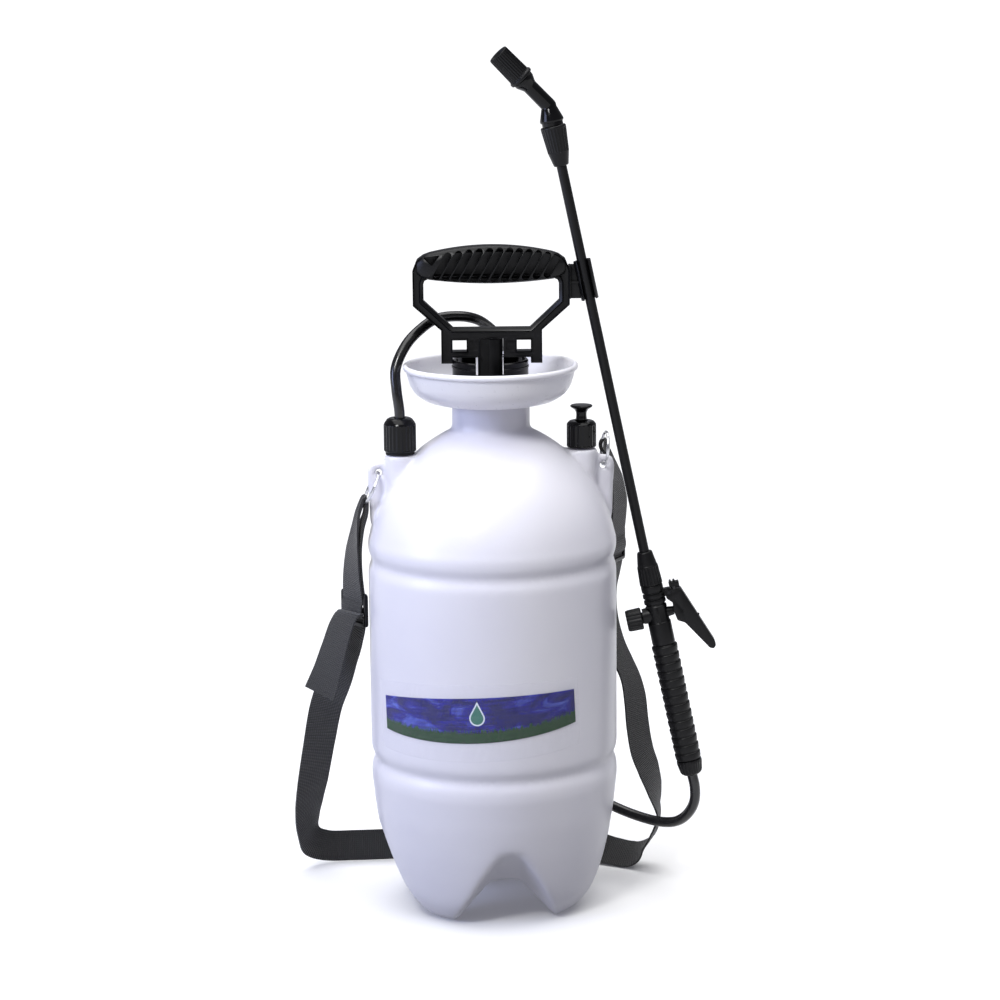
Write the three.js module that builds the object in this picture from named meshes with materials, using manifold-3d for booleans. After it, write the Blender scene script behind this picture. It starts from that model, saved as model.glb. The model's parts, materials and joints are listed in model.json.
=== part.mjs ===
// Hand-pumped compression sprayer with a shoulder strap: a moulded tank on four petal feet, a splash
// funnel round its neck, a plunger pump with a D-handle, and a trigger wand held in a clip on the handle.
// Millimetres, +Z up, X along the handle. The whole object stands centred on the origin, on z = 0.
import * as THREE from 'three';
import { mergeVertices } from 'three/addons/utils/BufferGeometryUtils.js';
import { ConvexGeometry } from 'three/addons/geometries/ConvexGeometry.js';
import Module from 'manifold-3d';

const wasm = await Module();
wasm.setup();

// ---- driving dimensions ----
const gap = 0.3; // air left between pieces that touch
const tankSides = 32; // flats round the tank
const tankAxis = { x: -5.4, y: -6.2 }; // the tank's axis in the object's frame
const tankTurn = 8; // degrees the tank's bosses are turned from the handle

const tank = {
  radius: 94,
  shoulder: 284, // where the dome starts
  wall: 2.4,
  grooveDepth: 2,
  lowGroove: 117.6,
  topGroove: 270.5,
  domeRise: 84.3, // shoulder to neck foot
  domeRadius: 111.9,
  neckRadius: 29.3,
  neckHeight: 29.7,
  footRadius: 56,
  channelTop: 30,
  channelRise: 72,
};
const boss = {
  reach: 69, radius: 11.8, bore: 6.2, top: 351, earReach: 94, earThick: 6, holeReach: 85.6,
  holeRadius: 3.6,
  holeDrop: 13.5, // boss's top to the ring's hole
};
const funnel = { radius: 65.7, depth: 30 };
const hoseNut = { radius: 12.2, height: 25.5, flutes: 16 };
const valve = {
  radius: 11.3, height: 20, flutes: 16, stem: 2.6, knobRadius: 8.5, knobHeight: 12,
};
const pump = {
  capRadius: 28.5,
  lugHeight: 18,
  lugGap: 21,
  plugDepth: 20,
  barrelRadius: 16.6,
  barrelWall: 1.8,
  barrelLength: 208,
  rodRadius: 9.3,
  rodWall: 1.8,
  pistonHeight: 12,
};
const handle = {
  halfWidth: 58.5,
  top: 507,
  foot: 418.6,
  gripHeight: 29,
  gripDepth: 23,
  frameDepth: 13,
  barWidth: 8,
};
const lean = 11.8; // degrees the wand leans towards the handle at its top
const clip = { x: 71.9, z: 480, length: 30, radius: 6.6, plateDepth: 5 };
const wand = {
  lanceRadius: 3.8,
  lanceBore: 2.6,
  lanceUp: 86.6, // clip to elbow nut
  lanceDown: 212.2, // clip to lance nut
  nutLength: 26,
  bodyLength: 47,
  bodyRadius: 8.4,
  gripLength: 93,
  gripRadius: 10.2,
  ringPitch: 6.6,
  capLength: 11,
  valveDrop: 23.5, // lance nut's end to the valve's axis
  pivotDrop: 8, // lance nut's end to the trigger's pivot
};
const trigger = { width: 12, pinRadius: 1.6, leverReach: 24, leverDrop: 35, wall: 2.2 };
const elbow = {
  nutLength: 31.8, nutRadius: 9.4, tubeRadius: 5.5, bore: 2.4, bend: 33.2, stub: 13.5, arm: 28.5,
  turn: 15,
};
const nozzle = { radius: 8.2, length: 22.2, mouth: 5.4 };
const hoseRadius = 4;
const webbing = { width: 25, thick: 1.5, gathered: 10 };
const ring = { radius: 12.6, wire: 1.3 };
const label = { width: 172, height: 62, thick: 0.2, low: 134, centre: -97 };

const rad = THREE.MathUtils.degToRad;

// ---- materials ----
const finish = (
  color, roughness, metalness = 0,
) => new THREE.MeshStandardMaterial({ color, roughness, metalness });
const tankPlastic = finish(0xe9e8ee, 0.45);
const blackPlastic = finish(0x151517, 0.4);
const rubber = finish(0x1c1c1e, 0.7);
const hoseVinyl = finish(0x121214, 0.35);
const springSteel = finish(0xb9bbc0, 0.3, 1);
const clearPlastic = finish(0xdfe3e6, 0.3);
const strapWeb = finish(0x101012, 0.85);
const labelPrint = finish(0x8a97d0, 0.4);

// ---- solids ----
function solidOf(geometry) {
  const bare = geometry.index ? geometry.toNonIndexed() : geometry.clone();
  bare.deleteAttribute('normal');
  bare.deleteAttribute('uv');
  const merged = mergeVertices(bare, 1e-4);
  const index = merged.index.array;
  const kept = [];
  for (let i = 0; i < index.length; i += 3) {
    const [a, b, c] = [index[i], index[i + 1], index[i + 2]];
    if (a !== b && b !== c && a !== c) kept.push(a, b, c);
  }
  const meshOf = (list) => new wasm.Mesh({
    numProp: 3,
    vertProperties: new Float32Array(merged.attributes.position.array),
    triVerts: new Uint32Array(list),
  });
  const made = new wasm.Manifold(meshOf(kept));
  if (made.volume() > 0) return made;
  return new wasm.Manifold(meshOf(kept.reverse()));
}

function geometryOf(solid) {
  const mesh = solid.getMesh();
  const geometry = new THREE.BufferGeometry();
  geometry.setAttribute('position', new THREE.BufferAttribute(new Float32Array(mesh.vertProperties), 3));
  geometry.setIndex(new THREE.BufferAttribute(new Uint32Array(mesh.triVerts), 1));
  return geometry;
}

// Adds one named piece to a group; it stands where the group stands.
function addPiece(group, name, solid, material) {
  const mesh = new THREE.Mesh(geometryOf(solid), material);
  mesh.name = name;
  group.add(mesh);
  return mesh;
}

// Turned solid about Z from [radius, height] points: an open profile runs axis to axis.
function turned(profile, sides = 20) {
  const points = profile.map(([r, z]) => new THREE.Vector2(r, z));
  return solidOf(new THREE.LatheGeometry(points, sides).rotateX(Math.PI / 2));
}

function rod(radius, low, high, sides = 20) {
  return turned([[0, low], [radius, low], [radius, high], [0, high]], sides);
}

function tube(outer, inner, low, high, sides = 20) {
  return turned([[inner, low], [outer, low], [outer, high], [inner, high], [inner, low]], sides);
}

// The points of an outline, turned counter-clockwise.
function wound(outline) {
  const points = outline.map(([x, y]) => new THREE.Vector2(x, y));
  return THREE.ShapeUtils.isClockWise(points) ? points.reverse() : points;
}

// Extruded outline, standing on z = low.
function plate(outline, low, high, holes = []) {
  const shape = new THREE.Shape(wound(outline));
  for (const hole of holes) shape.holes.push(new THREE.Path(wound(hole)));
  const geometry = new THREE.ExtrudeGeometry(shape, { depth: high - low, bevelEnabled: false });
  return solidOf(geometry.translate(0, 0, low));
}

// Plate standing upright, its outline in X and Z, centred on y = 0.
function upright(outline, depth, holes = []) {
  return plate(outline, -depth / 2, depth / 2, holes).rotate([90, 0, 0]);
}

function box(x0, x1, y0, y1, z0, z1) {
  return plate([[x0, y0], [x1, y0], [x1, y1], [x0, y1]], z0, z1);
}

function circle(x, y, radius, sides = 16) {
  const point = (i) => [
    x + radius * Math.cos((2 * Math.PI * i) / sides),
    y + radius * Math.sin((2 * Math.PI * i) / sides),
  ];
  return Array.from({ length: sides }, (_, i) => point(i));
}

// Fluted outline with rounded ridges for fingers.
function fluted(radius, flutes, depth) {
  const count = flutes * 4;
  const point = (i) => {
    const turn = (2 * Math.PI * i) / count;
    const r = radius - (i % 4 < 2 ? 0 : depth);
    return [r * Math.cos(turn), r * Math.sin(turn)];
  };
  return Array.from({ length: count }, (_, i) => point(i));
}

// Round bar swept along a smooth curve.
function swept(points, radius, steps, sides = 8) {
  const curve = new THREE.CatmullRomCurve3(
    points.map((p) => new THREE.Vector3(...p)), false, 'centripetal',
  );
  const section = new THREE.Shape(circle(0, 0, radius, sides).map(([x, y]) => new THREE.Vector2(x, y)));
  return solidOf(new THREE.ExtrudeGeometry(section, { steps, extrudePath: curve }));
}

function joined(...solids) {
  return solids.reduce((all, next) => all.add(next));
}

// Flat band through points, each with the direction its width lies in.
function band(stations, steps, width = webbing.width, thick = webbing.thick) {
  const middle = new THREE.CatmullRomCurve3(
    stations.map((s) => new THREE.Vector3(...s.at)), false, 'centripetal',
  );
  const knots = stations.map((s) => new THREE.Vector3(...s.across).normalize());
  const corners = [];
  const faces = [];
  for (let i = 0; i <= steps; i++) {
    const t = i / steps;
    const place = t * (knots.length - 1);
    const k = Math.min(Math.floor(place), knots.length - 2);
    const across = knots[k].clone().lerp(knots[k + 1], place - k);
    const centre = middle.getPoint(t);
    const along = middle.getTangent(t);
    across.addScaledVector(along, -across.dot(along)).normalize();
    const through = new THREE.Vector3().crossVectors(along, across).normalize();
    for (const [w, n] of [[-1, -1], [1, -1], [1, 1], [-1, 1]]) {
      const wide = THREE.MathUtils.lerp(
        stations[k].wide ?? width, stations[k + 1].wide ?? width, place - k,
      );
      const corner = centre.clone().addScaledVector(across, (w * wide) / 2);
      corners.push(...corner.addScaledVector(through, (n * thick) / 2).toArray());
    }
    if (i === 0) continue;
    for (let e = 0; e < 4; e++) {
      const [a, b] = [(i - 1) * 4 + e, (i - 1) * 4 + ((e + 1) % 4)];
      faces.push(a, b, b + 4, a, b + 4, a + 4);
    }
  }
  const last = steps * 4;
  faces.push(0, 2, 1, 0, 3, 2, last, last + 1, last + 2, last, last + 2, last + 3);
  const geometry = new THREE.BufferGeometry();
  geometry.setAttribute('position', new THREE.Float32BufferAttribute(corners, 3));
  geometry.setIndex(faces);
  return solidOf(geometry);
}

// ---- groups ----
const sprayer = new THREE.Group();
sprayer.position.set(tankAxis.x, tankAxis.y, 0);
const tankGroup = new THREE.Group();
tankGroup.rotation.z = rad(tankTurn);
const leftBoss = new THREE.Group();
leftBoss.position.x = -boss.reach;
const rightBoss = new THREE.Group();
rightBoss.position.x = boss.reach;
const wandGroup = new THREE.Group();
wandGroup.position.set(clip.x, 0, clip.z);
wandGroup.rotation.y = rad(-lean);
const elbowGroup = new THREE.Group();
const nozzleGroup = new THREE.Group();
sprayer.add(tankGroup, wandGroup);
tankGroup.add(leftBoss, rightBoss);
wandGroup.add(elbowGroup);
elbowGroup.add(nozzleGroup);

// ---- tank ----
const neckFoot = tank.shoulder + tank.domeRise;
const neckTop = neckFoot + tank.neckHeight;
const throatRadius = tank.neckRadius - tank.wall - 0.4;

// Points on the arc between two [radius, height] ends, drawn in by the wall.
function arcBetween([r0, z0], [r1, z1], radius, inset) {
  const half = Math.hypot(r1 - r0, z1 - z0) / 2;
  const [ur, uz] = [(r1 - r0) / half / 2, (z1 - z0) / half / 2];
  const back = Math.sqrt(radius * radius - half * half);
  const centre = [(r0 + r1) / 2 - uz * back, (z0 + z1) / 2 + ur * back];
  const start = Math.atan2(z0 - centre[1], r0 - centre[0]);
  const end = Math.atan2(z1 - centre[1], r1 - centre[0]);
  const count = 7;
  const point = (i) => {
    const turn = start + ((end - start) * i) / count;
    return [centre[0] + (radius - inset) * Math.cos(turn), centre[1] + (radius - inset) * Math.sin(turn)];
  };
  return Array.from({ length: count }, (_, i) => point(i));
}

function tankProfile(inset) {
  const r = tank.radius - inset;
  const groove = (z, depth) => [[r, z - 9], [r - depth, z - 1], [r - depth, z + 1], [r, z + 9]];
  const dome = arcBetween(
    [tank.radius, tank.shoulder], [tank.neckRadius, neckFoot], tank.domeRadius, inset,
  );
  return [
    [0, tank.channelTop - 2 + inset],
    [26, tank.channelTop - 4 + inset],
    [tank.footRadius - 13, 7 + inset],
    [tank.footRadius - 6, inset],
    [tank.footRadius + 7 - inset, inset],
    [r - 23.5, 5 + inset * 0.7],
    [r - 17.3, 14],
    [r - 13.8, 23],
    [r - 9.8, 38],
    [r - 6.2, 55],
    [r - 2.5, 78],
    ...groove(tank.lowGroove, tank.grooveDepth),
    ...groove(tank.topGroove, tank.grooveDepth * 0.8),
    ...dome,
  ];
}

// The four channels between the feet: low in the middle, opening upwards at the wall.
function channels(grow) {
  const section = (r, half, top, foot) => [
    new THREE.Vector3(r, -foot - grow, -5),
    new THREE.Vector3(r, foot + grow, -5),
    new THREE.Vector3(r, -half - grow, top + grow),
    new THREE.Vector3(r, half + grow, top + grow),
  ];
  const inner = section(0, 11, tank.channelTop, 42);
  const elbowPart = section(tank.footRadius - 4, 11, tank.channelTop, 42);
  const mouth = section(tank.radius + 6, 5, tank.channelRise, 46);
  const middle = solidOf(new ConvexGeometry([...inner, ...elbowPart]));
  const one = middle.add(solidOf(new ConvexGeometry([...elbowPart, ...mouth])));
  return joined(one, one.rotate([0, 0, 90]), one.rotate([0, 0, 180]), one.rotate([0, 0, 270]));
}

function makeTank() {
  const shell = turned(
    [...tankProfile(0), [tank.neckRadius, neckFoot], [tank.neckRadius, neckTop], [0, neckTop]],
    tankSides,
  );
  const hollow = turned(
    [...tankProfile(tank.wall), [throatRadius, neckFoot - 2], [throatRadius, neckTop + 5], [0, neckTop + 5]],
    tankSides,
  );
  let body = shell.subtract(channels(0));
  for (const side of [-1, 1]) {
    const column = rod(boss.radius, tank.shoulder + 8, boss.top, 24).translate([side * boss.reach, 0, 0]);
    const ear = [
      [boss.reach - 8, tank.shoulder + 4],
      [tank.radius - 1.6, tank.shoulder + 15],
      [boss.earReach, boss.top - 12],
      [boss.earReach - 5, boss.top - 5.5],
      [boss.reach + 8, boss.top - 5.5],
    ];
    const hole = circle(boss.holeReach, boss.top - boss.holeDrop, boss.holeRadius, 12);
    const lug = upright(
      ear.map(([x, z]) => [side * x, z]), boss.earThick, [hole.map(([x, z]) => [side * x, z])],
    );
    body = body.add(column).add(lug);
  }
  body = body.subtract(hollow.subtract(channels(tank.wall)));
  for (const side of [-1, 1]) {
    const outlet = rod(boss.bore, tank.shoulder - 9, boss.top + 5, 24);
    body = body.subtract(outlet.translate([side * boss.reach, 0, 0]));
  }
  return body;
}
addPiece(tankGroup, 'tank', makeTank(), tankPlastic);

// label film wrapped on the front, below the middle
function makeLabel() {
  const inner = tank.radius + gap;
  const span = label.width / inner;
  const sides = 14;
  const arc = (radius, i) => {
    const turn = rad(label.centre) - span / 2 + (span * i) / sides;
    return [radius * Math.cos(turn), radius * Math.sin(turn)];
  };
  const steps = Array.from({ length: sides + 1 }, (_, i) => i);
  const outline = [
    ...steps.map((i) => arc(inner + label.thick, i)), ...steps.reverse().map((i) => arc(inner, i)),
  ];
  return plate(outline, label.low, label.low + label.height);
}
addPiece(sprayer, 'label', makeLabel(), labelPrint);

// ---- funnel ----
const rimTop = neckTop + funnel.depth - 10.3;
function makeFunnel() {
  const hub = tank.neckRadius + gap;
  const low = rimTop - funnel.depth;
  const outer = [
    [hub, low], [hub + 11, low + 1.2], [50, low + 4], [56.5, low + 8], [60.3, low + 13.5],
    [62.6, low + 21], [63.6, rimTop - 4.4],
  ];
  const lip = [
    [funnel.radius, rimTop - 3.6], [funnel.radius, rimTop - 1.2], [funnel.radius - 1.6, rimTop],
    [funnel.radius - 3.6, rimTop - 0.6],
  ];
  const inner = [
    [61.2, low + 21], [58.6, low + 14.6], [54.8, low + 10], [49, low + 6.4], [hub + 10, low + 3.6],
    [hub + 2.4, low + 3], [hub + 2.4, low + 9], [hub, low + 9],
  ];
  return turned([...outer, ...lip, ...inner, [hub, low]], 28);
}
addPiece(sprayer, 'funnel', makeFunnel(), tankPlastic);

// ---- hose outlet on the left boss ----
const nutFoot = boss.top + 2.3;
const nutTop = nutFoot + hoseNut.height;
function makeHoseNut() {
  const grip = plate(fluted(hoseNut.radius, hoseNut.flutes, 0.7), nutFoot, nutTop - 4);
  const shoulder = turned([
    [0, nutTop - 4], [hoseNut.radius - 1, nutTop - 4], [hoseNut.radius - 3, nutTop - 0.8],
    [hoseNut.radius - 6, nutTop], [0, nutTop],
  ]);
  const entry = rod(hoseRadius + gap, nutFoot + 8, nutTop + 1, 16);
  const thread = rod(boss.bore + 2.6, nutFoot - 1, nutFoot + 8, 24);
  return grip.add(shoulder).subtract(entry).subtract(thread);
}
addPiece(leftBoss, 'hose_nut', makeHoseNut(), blackPlastic);
addPiece(
  leftBoss, 'outlet_seal', tube(boss.radius - 0.8, boss.bore + 0.4, boss.top + gap, nutFoot - gap),
  rubber,
);

// threaded spigot that the hose and the dip tube push onto
function makeOutlet() {
  const spigot = tube(boss.bore - gap, 1.6, boss.top - 22, nutFoot + 7.6);
  return spigot.subtract(tube(boss.bore + 1, 4.6, boss.top - 23, boss.top - 12));
}
addPiece(leftBoss, 'outlet_spigot', makeOutlet(), blackPlastic);
const dipTop = boss.top - 22 - gap;
addPiece(leftBoss, 'dip_tube', tube(4, 2.8, tank.channelRise - 12, dipTop, 16), clearPlastic);
addPiece(
  leftBoss, 'dip_filter', tube(7, 4 + gap, tank.channelRise - 14, tank.channelRise + 6, 16),
  blackPlastic,
);

// ---- safety valve on the right boss ----
const valveFoot = boss.top + 1;
const valveTop = valveFoot + valve.height;
function makeValveCap() {
  const grip = plate(fluted(valve.radius, valve.flutes, 0.6), valveFoot, valveTop - 2);
  const shoulder = turned([
    [0, valveTop - 2], [valve.radius - 0.8, valveTop - 2], [valve.radius - 2.4, valveTop],
    [0, valveTop],
  ]);
  const plug = rod(boss.bore - gap, boss.top - 14, valveFoot + 1);
  const chamber = rod(4.6, boss.top - 12, valveTop - 4);
  const bore = rod(valve.stem + gap, boss.top - 20, valveTop + 1);
  return joined(grip, shoulder, plug).subtract(chamber).subtract(bore);
}
addPiece(rightBoss, 'valve_cap', makeValveCap(), blackPlastic);

function makeReliefKnob() {
  const top = valveTop + valve.knobHeight;
  const flare = [
    [4.4, valveTop + gap], [4.4, top - 5], [valve.knobRadius - 1.2, top - 1.6],
    [valve.knobRadius, top - 0.8], [valve.knobRadius - 1, top], [0, top],
  ];
  const shank = [[0, boss.top - 16], [valve.stem, boss.top - 16], [valve.stem, valveTop + gap]];
  return turned([...shank, ...flare], 24);
}
addPiece(rightBoss, 'relief_knob', makeReliefKnob(), blackPlastic);
addPiece(
  rightBoss, 'relief_seal', tube(5.4, valve.stem + gap, boss.top - 16.5, boss.top - 14 - gap),
  rubber,
);

// Coil spring as one swept wire.
function coil(radius, wire, low, high, turns, perTurn = 8) {
  const count = turns * perTurn;
  const point = (i) => {
    const turn = (2 * Math.PI * i) / perTurn;
    return [radius * Math.cos(turn), radius * Math.sin(turn), low + ((high - low) * i) / count];
  };
  return swept(Array.from({ length: count + 1 }, (_, i) => point(i)), wire, count, 4);
}
addPiece(rightBoss, 'relief_spring', coil(3.8, 0.4, boss.top - 11, valveTop - 5, 4), springSteel);

// ---- pump ----
const capFoot = neckTop + 2;
const collarTop = capFoot + 3 + pump.lugHeight;
function makePumpCap() {
  const flange = rod(pump.capRadius, capFoot, capFoot + 3, 32);
  const plug = rod(throatRadius - gap, neckTop - pump.plugDepth, capFoot + 0.5, 32);
  const collar = tube(pump.capRadius, pump.capRadius - 2.6, capFoot + 2, collarTop, 32);
  const split = box(-pump.lugGap / 2, pump.lugGap / 2, -40, 40, capFoot + 5, collarTop + 5);
  const guide = rod(pump.rodRadius + 3, capFoot + 2, capFoot + 8, 32);
  const socket = rod(pump.barrelRadius + gap, neckTop - pump.plugDepth - 1, capFoot - 4, 32);
  const bore = rod(pump.rodRadius + gap, neckTop - 30, capFoot + 20, 32);
  return joined(flange, plug, collar.subtract(split), guide).subtract(socket).subtract(bore);
}
addPiece(sprayer, 'pump_cap', makePumpCap(), blackPlastic);
addPiece(
  sprayer, 'pump_gasket',
  tube(tank.neckRadius, throatRadius + gap, neckTop + gap, capFoot - gap, 32),
  rubber,
);

const barrelTop = capFoot - 4 - gap;
const barrelFoot = barrelTop - pump.barrelLength;
function makeBarrel() {
  const inner = pump.barrelRadius - pump.barrelWall;
  const shell = tube(pump.barrelRadius, inner, barrelFoot, barrelTop, 32);
  const floor = rod(pump.barrelRadius - 0.5, barrelFoot, barrelFoot + 2.5, 32);
  const port = (turn) => rod(2, barrelFoot - 1, barrelFoot + 4, 8).translate([
    8 * Math.cos(turn), 8 * Math.sin(turn), 0,
  ]);
  const ports = [0, 1, 2, 3].map((i) => port((i * Math.PI) / 2));
  const stemHole = rod(1.5, barrelFoot - 1, barrelFoot + 4, 8);
  return joined(shell, floor).subtract(joined(...ports, stemHole));
}
addPiece(sprayer, 'pump_barrel', makeBarrel(), blackPlastic);
addPiece(
  sprayer, 'foot_valve',
  turned([
    [0, barrelFoot - 3], [5, barrelFoot - 2.4], [11, barrelFoot - gap], [1.2, barrelFoot - gap],
    [1.2, barrelFoot + 3.4], [0, barrelFoot + 3.4],
  ]),
  rubber,
);

const pistonFoot = barrelFoot + 6;
const pistonTop = pistonFoot + pump.pistonHeight;
const pistonRadius = pump.barrelRadius - pump.barrelWall - 0.5;
function makePiston() {
  const seat = pistonRadius - 2.2;
  return turned([
    [0, pistonFoot], [pistonRadius, pistonFoot], [
      pistonRadius, pistonFoot + 3.5,
    ], [seat, pistonFoot + 3.5],
    [seat, pistonTop - 3.5], [pistonRadius, pistonTop - 3.5], [pistonRadius, pistonTop], [0, pistonTop],
  ]);
}
addPiece(sprayer, 'piston', makePiston(), blackPlastic);
addPiece(
  sprayer, 'piston_seal',
  tube(pistonRadius + 0.3, pistonRadius - 2.2 + gap, pistonFoot + 3.5 + gap, pistonTop - 3.5 - gap, 32),
  rubber,
);

// ---- handle ----
const crossTop = handle.top - 62;
const rodTop = crossTop - 8.4;
addPiece(
  sprayer, 'pump_rod',
  tube(pump.rodRadius, pump.rodRadius - pump.rodWall, pistonTop + gap, rodTop - gap, 32),
  blackPlastic,
);

function makeHandle() {
  const w = handle.halfWidth;
  const leg = w - 20.8;
  const half = [
    [leg, handle.foot], [leg, crossTop - 1.5], [w, crossTop + 17], [w, handle.top - 19], [
      w - 3, handle.top - 11.5,
    ],
    [w - 9, handle.top - 7.5], [w - 24, handle.top - 3], [0, handle.top],
  ];
  const outline = [...half, ...half.slice(0, -1).reverse().map(([x, z]) => [-x, z])];
  const b = handle.barWidth;
  const handHole = [
    [leg - 9, crossTop], [w - b, crossTop + 20.5], [w - b, handle.top - handle.gripHeight + 2],
    [w - b - 4, handle.top - handle.gripHeight + 4], [0, handle.top - handle.gripHeight],
  ];
  const hand = [...handHole, ...handHole.slice(0, -1).reverse().map(([x, z]) => [-x, z])];
  const frame = upright(outline, handle.frameDepth, [hand]);
  let body = frame.add(gripBar(w - 9));
  const cut = (x0, x1, z0, z1) => box(x0, x1, -20, 20, z0, z1);
  for (const side of [-1, 1]) {
    const [a, c] = [18.4 * side, (leg - b) * side];
    body = body.subtract(cut(Math.min(a, c), Math.max(a, c), handle.foot + 8.4, crossTop - 8.6));
    const [d, e] = [11 * side, (leg - b - 0.4) * side];
    body = body.subtract(cut(Math.min(d, e), Math.max(d, e), handle.foot - 5, handle.foot + 4.4));
  }
  body = body.subtract(cut(-11, 11, handle.foot - 5, handle.foot + 4.4));
  body = body.subtract(rod(pump.rodRadius + gap, handle.foot - 5, rodTop, 32));
  return body;
}

// Hand grip: a flattened bar that is deepest in the middle.
function gripBar(reach) {
  const middle = handle.top - handle.gripHeight / 2;
  const points = [];
  for (const x of [-reach, -reach * 0.6, 0, reach * 0.6, reach]) {
    const swell = 1 - 0.22 * (x / reach) ** 2;
    for (let i = 0; i < 14; i++) {
      const turn = (2 * Math.PI * i) / 14;
      const z = middle - 1.6 * (x / reach) ** 2 + (handle.gripHeight / 2) * swell * Math.sin(turn);
      points.push(new THREE.Vector3(x, (handle.gripDepth / 2) * swell * Math.cos(turn), z));
    }
  }
  return solidOf(new ConvexGeometry(points));
}
addPiece(sprayer, 'pump_handle', makeHandle(), blackPlastic);


// ---- wand: everything below is in the wand's own frame, Z up the lance ----
const nutHigh = -wand.lanceDown;
const nutLow = nutHigh - wand.nutLength;
const bodyLow = nutLow - gap - wand.bodyLength;
const gripLow = bodyLow - gap - wand.gripLength;
const capLow = gripLow - gap - wand.capLength;
const pivotAlong = nutLow - wand.pivotDrop;
const valveAlong = nutLow - wand.valveDrop;
const lanceHole = wand.lanceRadius + gap;

addPiece(
  wandGroup, 'lance', tube(wand.lanceRadius, wand.lanceBore, nutHigh - 13, wand.lanceUp + 12, 16),
  blackPlastic,
);

function makeLanceNut() {
  const outside = turned([
    [0, nutLow], [8.75, nutLow], [8.4, nutHigh - 11], [
      7.5, nutHigh - 9.6,
    ], [5.8, nutHigh - 0.8], [5.2, nutHigh], [0, nutHigh],
  ]);
  const thread = rod(6.6, nutLow - 1, nutLow + 12);
  return outside.subtract(thread).subtract(rod(lanceHole, nutLow, nutHigh + 1, 16));
}
addPiece(wandGroup, 'lance_nut', makeLanceNut(), blackPlastic);

// Round bar lying across the wand, along X.
function crossRod(radius, x0, x1, along, sides = 16) {
  return rod(radius, x0, x1, sides).rotate([0, 90, 0]).translate([0, 0, along]);
}

// Pin lying front to back, along Y.
function pinRod(radius, reach, x, along, sides = 12) {
  return rod(radius, -reach, reach, sides).rotate([90, 0, 0]).translate([x, 0, along]);
}

const pivotOut = wand.bodyRadius + 3.1;
const lugRadius = 2.9;
function makeValveBody() {
  const top = nutLow - gap;
  const barrel = turned([
    [0, bodyLow - 14], [5.6, bodyLow - 14], [5.6, bodyLow], [wand.bodyRadius + 0.4, bodyLow], [
      wand.bodyRadius + 0.4, valveAlong - 7,
    ],
    [
      wand.bodyRadius - 0.4, valveAlong - 6,
    ], [wand.bodyRadius - 0.4, top - 6], [wand.bodyRadius, top - 5], [wand.bodyRadius, top],
    [6.3, top], [6.3, top + 10.5], [0, top + 10.5],
  ]);
  const knobBoss = crossRod(6, -wand.bodyRadius - 3, -2, valveAlong);
  const pinBoss = crossRod(3.2, 2, wand.bodyRadius + 4.5, valveAlong, 12);
  const lug = pinRod(lugRadius, 3, pivotOut, pivotAlong, 16);
  const arm = box(4, pivotOut, -3, 3, pivotAlong - lugRadius, pivotAlong + lugRadius);
  const bore = rod(2.4, bodyLow - 20, top + 20, 12);
  const chamber = crossRod(3.4, -wand.bodyRadius - 5, 5, valveAlong);
  const pinHole = crossRod(1.5 + gap, 0, 30, valveAlong, 12);
  const pivotHole = pinRod(trigger.pinRadius + gap, 10, pivotOut, pivotAlong);
  return joined(barrel, knobBoss, pinBoss, lug, arm).subtract(joined(bore, chamber, pinHole, pivotHole));
}
addPiece(wandGroup, 'valve_body', makeValveBody(), blackPlastic);

function makeGrip() {
  const rings = [];
  const count = Math.round(wand.gripLength / wand.ringPitch);
  const pitch = wand.gripLength / count;
  for (let i = 0; i < count; i++) {
    const z = gripLow + i * pitch;
    rings.push([wand.gripRadius, z + pitch * 0.3], [wand.gripRadius - 1.3, z + pitch]);
  }
  return turned(
    [
      [6, gripLow], [wand.gripRadius - 1.3, gripLow], ...rings, [6, gripLow + wand.gripLength],
      [6, gripLow],
    ],
    16,
  );
}
addPiece(wandGroup, 'wand_grip', makeGrip(), rubber);
const hoseHole = hoseRadius + gap;
const capOutline = [
  [hoseHole, capLow], [7, capLow], [8.6, capLow + 2.5], [9.6, gripLow - gap - 3], [9.6, gripLow - gap], [
    hoseHole, gripLow - gap,
  ],
];
addPiece(wandGroup, 'grip_end_cap', turned([...capOutline, capOutline[0]], 20), blackPlastic);
const barbLow = bodyLow - 27;
addPiece(wandGroup, 'hose_barb', tube(3, 1.8, barbLow, bodyLow - 14 - gap, 12), blackPlastic);

// side knob: the screw plug that closes the shut-off valve
const knobIn = -wand.bodyRadius - 3.3;
function makeSideKnob() {
  const knob = plate(fluted(8.3, 12, 0.7), knobIn - 12.6, knobIn).rotate([0, 90, 0]);
  return knob.translate([0, 0, valveAlong]).add(crossRod(3.4 - gap, knobIn - 1, knobIn + 5, valveAlong));
}
addPiece(wandGroup, 'side_knob', makeSideKnob(), blackPlastic);

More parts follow.
